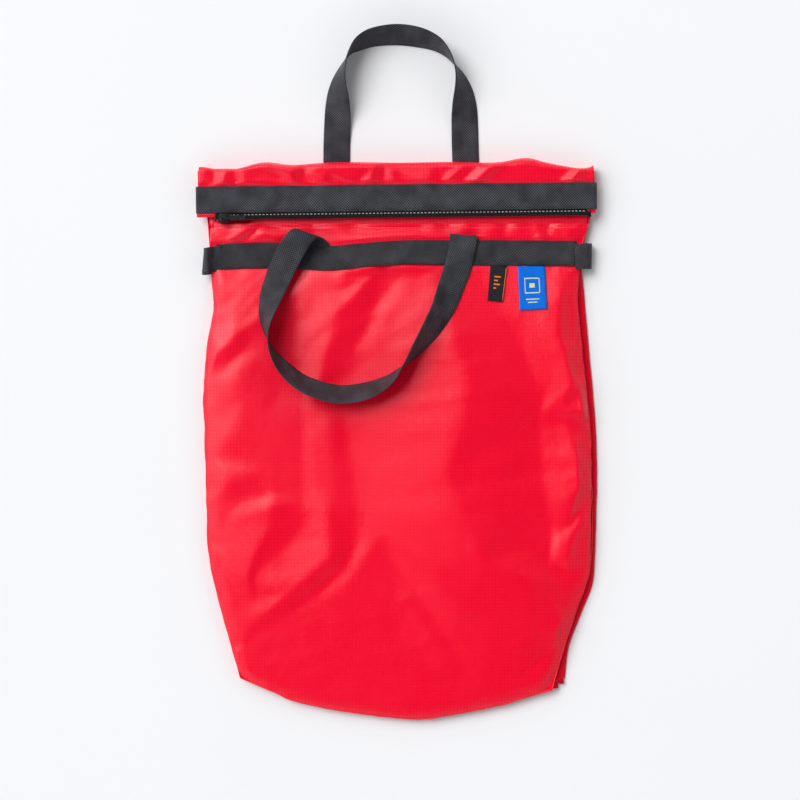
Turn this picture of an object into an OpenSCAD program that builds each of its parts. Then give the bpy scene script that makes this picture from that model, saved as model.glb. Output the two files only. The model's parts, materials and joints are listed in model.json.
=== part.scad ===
// Foldable tote bag, empty and lying flat on its back panel, with its zipped
// collar folded once over the front.
// X runs across the bag, Y from the base to the mouth, Z up from the surface.
// Below, y is measured from the base seam; place() moves the bag so that its
// origin is at the middle of its outline, on the surface that it lies on.

/* [Bag] */
// Height from the base seam to the fold at the top
fold_y = 546.5; // [520:0.5:570]
// Width across the mouth, over the webbing
mouth_w = 393; // [385:1:400]
// Width of the flat base, between its corners
base_w = 312; // [290:1:320]
// Rise of the curved base seam from its middle to its corners
base_rise = 41; // [30:1:50]
// Height of the empty body above the surface, under the front panel
loft = 18; // [14:0.5:24]
// Depth of the gussets and the base where they fold inwards
fold_depth = 46; // [35:1:50]
// Thickness of the drawn fabric
fabric_t = 0.6; // [0.5:0.05:0.7]

/* [Webbing] */
// Width of the webbing
web_w = 25; // [20:1:25]
// Thickness of the webbing
web_t = 1.4; // [1.2:0.1:1.5]
// Lower edge of the bands sewn across the front and the back
band_y = 443; // [435:1:446]
// How far a side loop stands out of the side seam
loop_reach = 11; // [10:0.5:14]

/* [Collar and zip] */
// Lower edge of the webbing round the mouth
mouth_web_y = 497.5; // [495:0.5:500]
// How far the mouth is turned from the fold, in degrees, as the collar lies askew
collar_tilt = 0.66; // [0:0.02:0.7]
// Length of the zip chain
zip_len = 363; // [340:1:364]
// Width of one row of the zip's coil
coil_w = 2.5; // [2:0.1:2.5]
// Height of the zip's coil
coil_h = 2.2; // [1.8:0.1:2.2]

/* [Labels] */
// Size of the blue label, across and down
label_size = [26, 42];
// Size of the dark tag, across and down
tag_size = [17, 36];

/* [Hidden] */

red = [0.93, 0.08, 0.16];
dark_red = [0.78, 0.05, 0.12];
black = [0.13, 0.13, 0.15];
graphite = [0.22, 0.22, 0.24];
gap = 0.3;           // room left between a soft part and its neighbour
eps = 0.01;

// Levels, upwards from the surface
strap_top = web_t;                        // handle and band behind the bag
raised = strap_top + 0.2;                 // back panel where it lies on them
yoke_z = 7.4;                             // underside of the flat top of the front
land_top = yoke_z + fabric_t;
band_top = land_top + web_t;
mouth_z = land_top + 0.4;                 // underside of the folded collar
collar_front_z = mouth_z + web_t;
tape_t = 0.5;
tape_front_z = collar_front_z + fabric_t;
chain_z = tape_front_z + 2;               // underside of the tape under the coil
coil_z = chain_z + tape_t;
collar_back_z = coil_z;
mouth_top = collar_back_z + fabric_t + web_t;

// Places along the bag
fold_r = (collar_back_z + fabric_t - raised) / 2;
collar_axis = [fold_y - fold_r, 9.4];     // y and z of the collar's fold
front_hinge_y = 478;                      // the front lifts about this line
step_y = band_y - 8;                      // the back panel steps up here
handle_hinge_y = 474;
handle_hinge_z = band_top + 0.4 + web_t / 2;
rear_hinge_y = fold_y + 2.5;
tag_hinge = [band_y - 1.5, band_top + 0.4]; // y and z of the labels' sewn ends
centre_y = 340.5;                         // middle of the bag and its rear handle
coil_y = 492.1;                           // middle of the zip chain
coil_gap = 1;                             // between the two rows
zip_x0 = -176;
front_legs = [-80, 65];                   // middles of the handles' ends
rear_legs = [-59, 68];

// Half width of the panels at height y
side_table = [
    [0, 156], [41, 156], [118, 180], [150, 187], [200, 190], [310, 191],
    [368, 187], [400, 181], [443, 179], [470, 179], [490, 185], [540, 192]
];
// Underside of the front panel at height y
front_table = [
    [0, 9], [60, loft], [380, loft], [438, yoke_z], [front_hinge_y, yoke_z]
];
// What the front handle lies on at height y
rest_table = [
    [0, 9 + fabric_t], [60, loft + fabric_t], [392, loft + fabric_t],
    [446, band_top], [480, band_top]
];
function half_w(y) = lookup(y, side_table);
function front_z(y) = y > front_hinge_y ? yoke_z : lookup(y, front_table);
function back_top(y) = (y > step_y ? raised : 0) + fabric_t;
function base_y(x) = base_rise * pow(2 * x / base_w, 2);
// How far a gusset folds in at height y, and the base at place x
function gusset_d(y) =
    min(y - base_rise + 5, lookup(y, [[90, fold_depth], [250, 40], [440, 12], [540, 8]]));
function base_d(x) = min(44, base_w / 2 - abs(x) + 2);

// A point of a smooth curve through four points, at t from 0 to 1
function spline(a, b, c, d, t) =
    0.5 * (2 * b + (c - a) * t + (2 * a - 5 * b + 4 * c - d) * t * t
           + (3 * b - a - 3 * c + d) * t * t * t);
// The curve through all points, with n steps between each two
function smooth(p, n) = [
    for (i = [0 : len(p) - 2], s = [0 : n - 1])
        spline(p[max(i - 1, 0)], p[i], p[i + 1], p[min(i + 2, len(p) - 1)], s / n),
    p[len(p) - 1]
];

// Routes of the handles: x, y, and the webbing's tilt about its own length.
// It lies flat at 0, stands on edge at 90 and leans outwards beyond that.
front_route = [
    [front_legs[0], 474.5, 0], [-82, 467, 0], [-92, 456, 0], [-106, 444, 8],
    [-118, 428, 25], [-125, 408, 48], [-127, 386, 72], [-122, 365, 94],
    [-111, 347, 117], [-94, 332, 128], [-73, 323, 133], [-52, 320, 134],
    [-29, 324, 130], [-9, 332, 114], [4, 344, 95], [16, 358, 72],
    [29, 376, 52], [44, 402, 33], [54, 428, 14], [61, 450, 2],
    [64.5, 466, 0], [front_legs[1], 474.5, 0]
];
rear_route = [
    [rear_legs[0], rear_hinge_y + 0.6, 0], [-58.8, 566, 0], [-58, 588, 7],
    [-57.5, 609, 30], [-56, 629, 60], [-51, 645, 80], [-45, 656, 92],
    [-36, 664, 112], [-22, 670, 123], [0, 672.5, 130], [21, 670, 127],
    [38, 664, 114], [49, 655, 99], [56, 645, 86], [61.5, 634, 70],
    [65, 620, 48], [66.5, 604, 24], [67, 588, 7], [67.5, 566, 0],
    [rear_legs[1], rear_hinge_y + 0.6, 0]
];

// A strap's height above what it lies on, at a tilt
function strap_rise(tilt) = web_w / 2 * sin(tilt) + web_t / 2 * abs(cos(tilt));
// Corners of the webbing's section at step k of a route; hand is 1 where the
// route turns to the left, -1 where it turns to the right
function strap_ring(p, k, hand, rests) =
    let(a = p[max(k - 1, 0)], b = p[min(k + 1, len(p) - 1)],
        ends = k == 0 || k == len(p) - 1,
        d = [b[0] - a[0], b[1] - a[1]],
        t = ends ? [0, sign(d[1])] : d / norm(d),
        tilt = max(p[k][2], 0),
        n = [-t[1], t[0]] * hand,
        across = [n[0] * cos(tilt), n[1] * cos(tilt), sin(tilt)],
        up = cross([t[0], t[1], 0], across),
        z = (rests ? lookup(p[k][1], rest_table) + 0.4 : 0) + strap_rise(tilt),
        c = [p[k][0], p[k][1], z])
    [for (s = [[-1, -1], [1, -1], [1, 1], [-1, 1]])
        c + across * s[0] * web_w / 2 + up * s[1] * web_t / 2];

front_rings = let(p = smooth(front_route, 3))
    [for (k = [0 : len(p) - 1]) strap_ring(p, k, 1, true)];
rear_rings = let(p = smooth(rear_route, 3))
    [for (k = [0 : len(p) - 1]) strap_ring(p, k, -1, false)];

// A closed solid through rings of corners. The first half of each ring's sides
// and the second half are split along matching diagonals, so that a thin sheet
// keeps its thickness where it twists.
function split(k, j, n) =
    let(a = k * n + j, b = a + n, c = (k + 1) * n + (j + 1) % n, d = k * n + (j + 1) % n)
    j < n / 2 ? [[a, b, c], [a, c, d]] : [[a, b, d], [b, c, d]];
module swept(rings) {
    n = len(rings[0]);
    m = len(rings);
    end = [for (i = [0 : 3]) (m - 1) * n];
    polyhedron(
        points = [for (r = rings, c = r) c],
        faces = concat(
            [for (j = [0 : n / 2 - 2]) [j, j + 1, n - 2 - j, n - 1 - j]],
            [for (k = [0 : m - 2], j = [0 : n - 1], f = split(k, j, n)) f],
            [for (j = [0 : n / 2 - 2]) [n - 1 - j, n - 2 - j, j + 1, j] + end]
        ),
        convexity = 6
    );
}

// Everything is drawn in base-seam heights and moved here
module place() { translate([0, -centre_y, 0]) children(); }

// The mouth's webbing and zip lie askew, turned about the mouth's left corner
function askew_point(p) =
    let(d = p - [-mouth_w / 2, mouth_web_y], c = cos(collar_tilt), s = sin(collar_tilt))
    [c * d[0] - s * d[1] - mouth_w / 2, s * d[0] + c * d[1] + mouth_web_y];
// The collar's upper corners, right then left, in line with its slanting ends
function collar_top() = [for (side = [1, -1]) [askew_point([side * end_x, collar_top_y])[0], collar_top_y]];
module askew() {
    translate([-mouth_w / 2, mouth_web_y, 0]) rotate([0, 0, collar_tilt])
        translate([mouth_w / 2, -mouth_web_y, 0]) children();
}

// A plate on the XY plane, from z up by t
module plate(z, t, outline) {
    translate([0, 0, z]) linear_extrude(t) polygon(outline);
}

// A section drawn in y and z, drawn out across the bag from x0 to x1
module across(x0, x1, section) {
    translate([x0, 0, 0]) rotate([90, 0, 90]) linear_extrude(x1 - x0) polygon(section);
}

// A section drawn in x and z, drawn out up the bag from y0 to y1
module along(y0, y1, section) {
    translate([0, y1, 0]) rotate([90, 0, 0]) linear_extrude(y1 - y0) polygon(section);
}

function box(x0, x1, y0, y1) = [[x0, y0], [x1, y0], [x1, y1], [x0, y1]];
// Points of an arc about c, from angle a to b
function arc(c, r, a, b, n = 12) =
    [for (i = [0 : n]) let(w = a + (b - a) * i / n) c + r * [cos(w), sin(w)]];

side_ys = [for (r = side_table) if (r[0] >= base_rise) r[0]];
// Outline of a body panel up to height top
function panel_outline(top) = concat(
    [for (x = [-base_w / 2 : base_w / 26 : base_w / 2 - 1]) [x, base_y(x)]],
    [for (y = side_ys) if (y < top) [half_w(y), y]],
    [[half_w(top), top], [-half_w(top), top]],
    [for (i = [len(side_ys) - 1 : -1 : 1]) if (side_ys[i] < top) [-half_w(side_ys[i]), side_ys[i]]]
);

module back_panel() {
    section = [
        [-1, 0], [step_y - 4, 0], [step_y + 2, raised], [fold_y, raised],
        [fold_y, raised + fabric_t], [step_y + 2, raised + fabric_t],
        [step_y - 4, fabric_t], [-1, fabric_t]
    ];
    color(red) intersection() {
        across(-200, 200, section);
        plate(-1, 40, panel_outline(collar_axis[0] - gap));
    }
}

module front_panel() {
    top = front_hinge_y - 0.5;
    lower = [[-1, 9], [60, loft], [380, loft], [438, yoke_z], [top, yoke_z]];
    upper = [for (i = [len(lower) - 1 : -1 : 0]) lower[i] + [0, fabric_t]];
    color(red) intersection() {
        across(-200, 200, concat(lower, upper));
        plate(0, 40, panel_outline(top));
    }
}

module front_yoke() {
    y0 = front_hinge_y + 0.5;
    y1 = collar_axis[0] - 0.5;
    ys = [y0, 490, 540];
    color(red) plate(yoke_z, fabric_t, concat(
        [for (y = ys) if (y < y1) [half_w(y), y]], [[half_w(y1), y1]],
        [[-half_w(y1), y1]], [for (i = [2 : -1 : 0]) if (ys[i] < y1) [-half_w(ys[i]), ys[i]]]
    ));
}

// The folded edge of a gusset or of the base: a V with its point inwards.
// Corners run from the upper edge over the point to the lower edge and back.
function fold_section(edge, depth, low, high, inwards) =
    let(mid = (low + high) / 2,
        tip = edge + inwards * depth,
        inner = tip - inwards * fabric_t * depth / ((high - low) / 2))
    [[edge, high], [tip, mid], [edge, low],
     [edge, low + fabric_t], [inner, mid], [edge, high - fabric_t]];

module gusset(side) {
    ys = [base_rise + 2, 60, 75, 95, 130, 170, 250, 310, 370, 400, step_y - 8,
          step_y + 4, 470, 500, collar_axis[0] - 1];
    color(dark_red) swept([
        for (y = ys)
            let(s = fold_section(half_w(y) - gap, gusset_d(y), back_top(y + 4) + gap,
                                 front_z(y) - gap, -1))
            [for (c = (side > 0 ? s : [for (i = [5 : -1 : 0]) s[i]])) [side * c[0], y, c[1]]]
    ]);
}

module base_panel() {
    xs = [for (x = [-144 : 14.4 : 144.1]) x];
    color(dark_red) swept([
        for (x = xs)
            let(e = base_y(x) + gap,
                s = fold_section(e, base_d(x), fabric_t + gap, front_z(e) - gap, 1))
            [for (c = s) [x, c[0], c[1]]]
    ]);
}

// The back fabric's turn round the fold at the top
module top_fold() {
    c = [collar_axis[0], raised + fold_r];
    color(red) across(-half_w(540) + 2, half_w(540) - 2, concat(
        arc(c, fold_r, -90, 90), arc(c, fold_r - fabric_t, 90, -90)
    ));
}

module back_band() {
    color(black) plate(0, web_t, box(-178, 178, band_y, band_y + web_w));
}

module front_band() {
    color(black) plate(land_top, web_t, box(-177, 177, band_y, band_y + web_w));
}

module rear_handle_ends() {
    color(black) for (x = rear_legs)
        plate(0, web_t, box(x - web_w / 2, x + web_w / 2, band_y + web_w, rear_hinge_y - 1));
}

module front_handle_ends() {
    color(black) for (x = front_legs)
        plate(land_top, web_t,
              box(x - web_w / 2, x + web_w / 2, band_y + web_w, handle_hinge_y - 1.6));
}

module front_handle() { color(black) swept(front_rings); }

module rear_handle() { color(black) swept(rear_rings); }

// A tape bound over the seam allowance inside, near the panels' edges
module seam_binding(side, z, y0, y1) {
    ys = [y0, 118, 150, 200, 310, 368, y1];
    function edge(d) = [for (y = ys) [side * (half_w(y) - d), y]];
    outer = edge(6);
    inner = edge(14);
    color(graphite) plate(z, 0.5, concat(outer, [for (i = [len(ys) - 1 : -1 : 0]) inner[i]]));
}

// A side loop: its upper leg lies on the front band's end
module side_loop(side) {
    low = raised + fabric_t + 0.6;
    high = band_top + gap + web_t;
    r = (high - low) / 2;
    c = [half_w(455) + loop_reach + 0.5 - r, (low + high) / 2];
    section = concat(
        [[171, high]], arc(c, r, 90, -90), [[180.3, low], [180.3, low + web_t]],
        arc(c, r - web_t, -90, 90), [[171, high - web_t]]
    );
    color(black) along(band_y, band_y + web_w, [for (p = section) [side * p[0], p[1]]]);
}

// A label sewn under the band, lying over the slope of the front panel
module tag(x, size, thick) {
    slope = 8;
    translate([x, tag_hinge[0], tag_hinge[1]]) rotate([-slope, 0, 0])
        translate([-size[0] / 2, -size[1], 0]) cube([size[0], size[1], thick]);
}

module blue_label() { color([0.05, 0.42, 0.9]) tag(132, label_size, 0.5); }

module dark_tag() { color(black) tag(101, tag_size, 0.8); }

collar_top_y = collar_axis[0] - gap;
end_x = mouth_w / 2 - (mouth_top - mouth_z) / 2;     // where the layers turn back

module collar_back() {
    edge = mouth_web_y;
    tab_y = coil_y - 2;
    x0 = zip_x0 - 3;
    x1 = zip_x0 + zip_len + 4;
    lower = [[-end_x, tab_y], [x0, tab_y], [x0, edge], [x1, edge], [x1, tab_y], [end_x, tab_y]];
    color(red) plate(collar_back_z, fabric_t, concat([for (p = lower) askew_point(p)], collar_top()));
}

module collar_front() {
    lower = [[-end_x, mouth_web_y], [end_x, mouth_web_y]];
    color(red) plate(collar_front_z, fabric_t, concat([for (p = lower) askew_point(p)], collar_top()));
}

// The fabric's turn at the side of the collar
module collar_end(side) {
    r = (collar_back_z + fabric_t - collar_front_z) / 2;
    c = [end_x, collar_front_z + r];
    section = concat(arc(c, r, -90, 90), arc(c, r - fabric_t, 90, -90));
    top = collar_top_y - mouth_w * sin(collar_tilt) - gap;
    color(red) askew() along(coil_y - 2, top, [for (p = section) [side * p[0], p[1]]]);
}

// One closed loop of webbing round the mouth, pressed flat
module mouth_webbing() {
    r = (mouth_top - mouth_z) / 2;
    z = mouth_z + r;
    module oval(r) {
        polygon(concat(arc([end_x, z], r, -90, 90), arc([-end_x, z], r, 90, 270)));
    }
    color(black) translate([0, mouth_web_y + web_w, 0]) rotate([90, 0, 0])
        linear_extrude(web_w) difference() { oval(r); oval(r - web_t); }
}

zip_x1 = zip_x0 + zip_len;
chain_lo = coil_y - coil_gap / 2 - coil_w;
chain_hi = coil_y + coil_gap / 2 + coil_w;

module zip_tape_back() {
    color(black) plate(chain_z, tape_t,
                       box(zip_x0 - 2, zip_x1 + 3, coil_y + coil_gap / 2, mouth_web_y + 7));
}

// This tape turns down at the mouth's edge and runs back under the slider
module zip_tape_front() {
    turn = chain_lo - 2.1;
    color(black) across(zip_x0 - 2, zip_x1 + 3, [
        [coil_y - coil_gap / 2, chain_z], [coil_y - coil_gap / 2, coil_z],
        [turn - tape_t, coil_z], [turn - tape_t, tape_front_z],
        [mouth_web_y + 7, tape_front_z], [mouth_web_y + 7, tape_front_z + tape_t],
        [turn, tape_front_z + tape_t], [turn, chain_z]
    ]);
}

module zip_coil(y) {
    color(graphite) plate(coil_z, coil_h, box(zip_x0, zip_x1, y, y + coil_w));
}

module zip_top_stops() {
    color(graphite) for (y = [chain_lo, coil_y + coil_gap / 2])
        plate(coil_z, coil_h, box(zip_x0 - 2, zip_x0 - 0.1, y, y + coil_w));
}

module zip_bottom_stop() {
    color(graphite) plate(coil_z, coil_h, box(zip_x1 + 0.1, zip_x1 + 3, chain_lo, chain_hi));
}

// The slider: two plates joined by a post between the rows, and a bridge
slider_x = zip_x0 + 1.5;
slider_l = 12;
slider_w = 9;
pin_x = slider_x + 6.5;
plate_t = 1;
top_z = coil_z + coil_h + 0.2;
bottom_z = chain_z - 0.2 - plate_t;
bridge_z = top_z + plate_t;
pin_z = bridge_z + 1.4;
pin_r = 0.62;
bridge_half = 2.8;
module zip_slider() {
    function body(x0, x1, w, nose) = [
        [x0, coil_y - w / 2 + nose], [x0 + 2, coil_y - w / 2],
        [x1 - 2, coil_y - w / 2], [x1, coil_y - w / 2 + nose / 2],
        [x1, coil_y + w / 2 - nose / 2], [x1 - 2, coil_y + w / 2],
        [x0 + 2, coil_y + w / 2], [x0, coil_y + w / 2 - nose]
    ];
    outline = body(slider_x, slider_x + slider_l, slider_w, 1.5);
    color(black) difference() {
        union() {
            plate(top_z, plate_t, outline);
            plate(bottom_z, plate_t, outline);
            for (y = [coil_y - slider_w / 2, coil_y + slider_w / 2 - 0.9])
                plate(coil_z + 0.3, top_z - coil_z, box(slider_x + 2, slider_x + slider_l - 2, y, y + 0.9));
            plate(bottom_z + eps, top_z - bottom_z,
                  box(slider_x + 1, slider_x + 4, coil_y - 0.3, coil_y + 0.3));
            plate(bridge_z - eps, 2.6,
                  box(pin_x - bridge_half, pin_x + bridge_half, coil_y - 0.9, coil_y + 0.9));
        }
        translate([pin_x, coil_y + 2, pin_z]) rotate([90, 0, 0])
            cylinder(h = 4, r = pin_r + 0.08, $fn = 32);
    }
}

// The pull: a pin through the bridge, two arms and a grip
pull_l = 21;
module zip_pull() {
    pull_t = 1.3;
    z = pin_z - pull_t / 2;
    start = pin_x + bridge_half + 0.4;
    end_c = [pin_x + pull_l - 3, coil_y];
    color(black) union() {
        translate([pin_x, coil_y + 2.2, pin_z]) rotate([90, 0, 0])
            cylinder(h = 4.4, r = pin_r, $fn = 32);
        for (s = [-1, 1])
            plate(z, pull_t, box(pin_x - 0.6, start + 1, coil_y + s * 1.65 - 0.55, coil_y + s * 1.65 + 0.55));
        plate(z, pull_t, concat(
            [[start, coil_y - 2.2]], arc(end_c, 3, -90, 90), [[start, coil_y + 2.2]]
        ));
    }
}

place() back_panel();
place() front_yoke();
place() gusset(-1);  // gusset_left
place() gusset(1);  // gusset_right
place() base_panel();
place() top_fold();
place() back_band();
place() rear_handle_ends();
place() seam_binding(-1, fabric_t, 65, 420);  // seam_binding_left
place() seam_binding(1, fabric_t, 65, 420);  // seam_binding_right
place() side_loop(-1);  // side_loop_left
place() side_loop(1);  // side_loop_right
place() front_panel();
place() front_band();
place() front_handle_ends();
place() seam_binding(-1, loft - 0.5, 65, 375);  // front_binding_left
place() seam_binding(1, loft - 0.5, 65, 375);  // front_binding_right
place() front_handle();
place() rear_handle();
place() blue_label();
place() dark_tag();
place() collar_back();
place() collar_front();
place() collar_end(-1);  // collar_end_left
place() collar_end(1);  // collar_end_right
place() askew() mouth_webbing();
place() askew() zip_tape_back();
place() askew() zip_tape_front();
place() askew() zip_coil(coil_y + coil_gap / 2);  // zip_coil_back
place() askew() zip_coil(chain_lo);  // zip_coil_front
place() askew() zip_top_stops();
place() askew() zip_bottom_stop();
place() askew() zip_slider();
place() askew() zip_pull();
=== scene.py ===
"""The looks of a foldable tote bag that lies empty and flat, its collar folded over the front.

Lengths are in millimetres until a mesh is made. X runs across the bag, Y from the base to the
top fold and Z up from the surface, as in the CAD frame.
"""
import json
import math

import bpy
import numpy as np
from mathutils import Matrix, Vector
from mathutils.bvhtree import BVHTree
from mathutils.geometry import delaunay_2d_cdt


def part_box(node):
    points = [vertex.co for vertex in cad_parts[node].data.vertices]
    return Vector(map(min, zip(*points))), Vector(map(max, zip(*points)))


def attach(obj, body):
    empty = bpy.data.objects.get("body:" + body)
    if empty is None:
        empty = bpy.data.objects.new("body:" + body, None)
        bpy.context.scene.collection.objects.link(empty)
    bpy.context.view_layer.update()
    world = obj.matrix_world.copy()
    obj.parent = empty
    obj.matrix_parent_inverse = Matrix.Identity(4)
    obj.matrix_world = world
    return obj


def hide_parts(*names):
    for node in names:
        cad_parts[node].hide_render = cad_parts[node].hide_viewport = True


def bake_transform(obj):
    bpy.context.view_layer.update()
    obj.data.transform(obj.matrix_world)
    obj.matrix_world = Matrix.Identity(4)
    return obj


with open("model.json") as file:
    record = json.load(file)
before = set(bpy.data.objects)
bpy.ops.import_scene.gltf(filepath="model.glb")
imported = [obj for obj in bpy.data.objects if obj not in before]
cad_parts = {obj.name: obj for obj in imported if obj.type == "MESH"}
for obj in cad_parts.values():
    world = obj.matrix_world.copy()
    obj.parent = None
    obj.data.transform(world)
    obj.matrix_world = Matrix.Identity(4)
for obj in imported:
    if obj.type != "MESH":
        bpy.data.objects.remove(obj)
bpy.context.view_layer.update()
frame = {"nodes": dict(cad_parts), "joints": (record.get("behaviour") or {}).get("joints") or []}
scene = bpy.context.scene


def node_box(name):
    """The lowest and highest corner of a CAD node, in millimetres."""
    return [np.array(corner) * 1000 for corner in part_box(name)]


BAND_LO, BAND_HI = node_box("front_band")
MOUTH_LO, MOUTH_HI = node_box("mouth_webbing")
COLLAR_LO, COLLAR_HI = node_box("collar_back")
COIL_BOTTOM = node_box("zip_coil_front")[0][2]
WEB_W = BAND_HI[1] - BAND_LO[1]
WEB_T = 1.2
# The hand loops' webbing spreads a little wider than the band's
STRAP_W = WEB_W + 1.2
NYLON_T = 0.45
# The mouth's lower edge at its left corner; the zip's axis says how far the mouth is turned
MOUTH_Y = 157.0
MOUTH_CORNER = np.array([MOUTH_LO[0], MOUTH_Y])
ZIP_AXIS = next(j["axis"] for j in frame["joints"] if j["name"] == "zip_slide")
ASKEW = math.atan2(ZIP_AXIS[1], ZIP_AXIS[0])


# ---------------------------------------------------------------- numbers and curves

def unit(vectors):
    """Each row at length 1."""
    return vectors / np.linalg.norm(vectors, axis=1)[:, None]


def xyz(*parts):
    """Numbers and arrays side by side, spread to one shape: the places that they give."""
    return np.stack(np.broadcast_arrays(*parts), -1)


def lengths_along(points):
    """The distance run at each point of a path."""
    return np.concatenate([[0], np.cumsum(np.linalg.norm(np.diff(points, axis=0), axis=1))])


def spline(points, count):
    """count evenly spaced points on a smooth curve through all the given points."""
    p = np.array(points, float)
    p = np.vstack([2 * p[0] - p[1], p, 2 * p[-1] - p[-2]])
    t = np.linspace(0, 1, 24, endpoint=False)[:, None]
    fine = []
    for a, b, c, d in zip(p, p[1:], p[2:], p[3:]):
        fine.append(0.5 * (2 * b + (c - a) * t + (2 * a - 5 * b + 4 * c - d) * t**2
                           + (3 * b - a - 3 * c + d) * t**3))
    fine = np.vstack(fine + [p[-2][None]])
    run = lengths_along(fine[:, :3])
    even = np.linspace(0, run[-1], count)
    return np.stack([np.interp(even, run, fine[:, k]) for k in range(fine.shape[1])], 1)


def ease(x, points):
    """A smooth function of x through (x, value) points."""
    xs, ys = np.array(points, float).T
    slopes = np.gradient(ys, xs)
    x = np.clip(x, xs[0], xs[-1])
    i = np.clip(np.searchsorted(xs, x) - 1, 0, len(xs) - 2)
    h = xs[i + 1] - xs[i]
    t = (x - xs[i]) / h
    return ((2 * t**3 - 3 * t**2 + 1) * ys[i] + (t**3 - 2 * t**2 + t) * h * slopes[i]
            + (3 * t**2 - 2 * t**3) * ys[i + 1] + (t**3 - t**2) * h * slopes[i + 1])


def ripple(x, y, size, seed):
    """Smooth noise from -1 to 1 whose bumps are about size across."""
    table = np.random.RandomState(seed).uniform(-1, 1, (61, 61))
    u, v = x / size, y / size
    i, j = np.floor(u).astype(int), np.floor(v).astype(int)
    fu, fv = u - i, v - j
    fu, fv = fu * fu * (3 - 2 * fu), fv * fv * (3 - 2 * fv)
    a, b = table[i % 61, j % 61], table[(i + 1) % 61, j % 61]
    c, d = table[i % 61, (j + 1) % 61], table[(i + 1) % 61, (j + 1) % 61]
    return (a * (1 - fu) + b * fu) * (1 - fv) + (c * (1 - fu) + d * fu) * fv


def askew(x, y):
    """A place on the collar's mouth, which is turned a little about its left corner."""
    dx, dy = x - MOUTH_CORNER[0], y - MOUTH_CORNER[1]
    c, s = math.cos(ASKEW), math.sin(ASKEW)
    return MOUTH_CORNER[0] + c * dx - s * dy, MOUTH_CORNER[1] + s * dx + c * dy



def pick(line, shares):
    """Places in X and Y at shares of the way along a line of points."""
    at, steps = shares * (len(line) - 1), np.arange(len(line))
    return np.stack([np.interp(at, steps, line[:, k]) for k in (0, 1)], 1)


def smooth_run(values, n=5):
    """A running mean over n values to each side."""
    k = np.ones(2 * n + 1) / (2 * n + 1)
    return np.convolve(np.pad(values, n, mode="edge"), k, "valid")


# ---------------------------------------------------------------- shader arithmetic

class Field:
    """A value that varies over a surface, with plain arithmetic on its shader socket."""
    LINE_START = 0.95   # a line's soft edge starts at this share of the way to it from mid gap

    def __init__(self, tree, socket):
        self.tree, self.socket = tree, socket

    def math(self, operation, *others):
        n = self.tree.nodes.new("ShaderNodeMath")
        n.operation = operation
        for slot, value in zip(n.inputs, (self, *others)):
            if isinstance(value, Field):
                self.tree.links.new(value.socket, slot)
            else:
                slot.default_value = value
        return Field(self.tree, n.outputs[0])

    def __add__(self, other):
        return self.math("ADD", other)

    def __mul__(self, other):
        return self.math("MULTIPLY", other)

    def __sub__(self, other):
        return self.math("SUBTRACT", other)

    def line(self, pitch, width):
        """1 on thin lines at every pitch, 0 between them."""
        near = ((self * (1 / pitch)).math("FRACT") - 0.5).math("ABSOLUTE")
        half = width / pitch / 2
        slope = (near - (0.5 - half) * self.LINE_START).math("DIVIDE", half)
        return slope.math("MAXIMUM", 0.0).math("MINIMUM", 1.0)

    def wave(self, pitch):
        """A sine from -1 to 1 of that pitch."""
        return (self * (2 * math.pi / pitch)).math("SINE")


class Look:
    """A procedural material. u and v are the flat cloth's own millimetres."""

    def __init__(self, name, rough, **sockets):
        self.material = bpy.data.materials.new(name)
        self.material.use_nodes = True
        self.tree = self.material.node_tree
        self.shader = self.tree.nodes["Principled BSDF"]
        self.shader.inputs["Roughness"].default_value = rough
        for socket, value in sockets.items():
            self.shader.inputs[socket.replace("_", " ")].default_value = value
        uv = self.tree.nodes.new("ShaderNodeUVMap")
        uv.uv_map = "cloth"
        self.uv = uv.outputs[0]
        split = self.tree.nodes.new("ShaderNodeSeparateXYZ")
        self.tree.links.new(self.uv, split.inputs[0])
        self.u = Field(self.tree, split.outputs[0]) * 1000.0
        self.v = Field(self.tree, split.outputs[1]) * 1000.0
        self.place = self.tree.nodes.new("ShaderNodeTexCoord").outputs["Object"]

    def noise(self, size, detail=3.0, on_cloth=True):
        """Noise from 0 to 1 whose spots are about size millimetres across."""
        n = self.tree.nodes.new("ShaderNodeTexNoise")
        self.tree.links.new(self.uv if on_cloth else self.place, n.inputs["Vector"])
        n.inputs["Scale"].default_value = 1000.0 / size
        n.inputs["Detail"].default_value = detail
        return Field(self.tree, n.outputs["Fac"])

    def colour(self, share, dark, light):
        """Base colour from dark to light as share goes from 0 to 1."""
        ramp = self.tree.nodes.new("ShaderNodeValToRGB")
        ramp.color_ramp.elements[0].color = (*dark, 1)
        ramp.color_ramp.elements[1].color = (*light, 1)
        self.tree.links.new(share.socket, ramp.inputs[0])
        self.tree.links.new(ramp.outputs[0], self.shader.inputs["Base Color"])
        return self

    def rough(self, share):
        self.tree.links.new(share.socket, self.shader.inputs["Roughness"])
        return self

    def bump(self, height, depth, strength=1.0):
        """Relief of that depth in millimetres where height is 1."""
        n = self.tree.nodes.new("ShaderNodeBump")
        n.inputs["Strength"].default_value = strength
        n.inputs["Distance"].default_value = depth / 1000
        self.tree.links.new(height.socket, n.inputs["Height"])
        self.tree.links.new(n.outputs[0], self.shader.inputs["Normal"])
        return self


def ripstop(name, dark, light, gloss=0.43):
    """Thin nylon with a fine weave and a grid of thicker threads 3.3 mm apart."""
    look = Look(name, 0.3, Specular_IOR_Level=gloss)
    grid = look.u.line(3.3, 0.55).math("MAXIMUM", look.v.line(3.3, 0.55))
    weave = look.u.wave(0.42) * look.v.wave(0.42)
    cloud = look.noise(60, 4)
    fleck = look.noise(1.6, 2)
    look.colour((cloud * 0.5 + fleck * 0.35) + grid * 0.16, dark, light)
    look.rough(cloud * 0.08 + 0.25 + grid * -0.03)
    crinkle = look.noise(5.5, 5) * 0.9
    return look.bump(crinkle + grid * 0.24 + weave * 0.12, 0.14)


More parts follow.
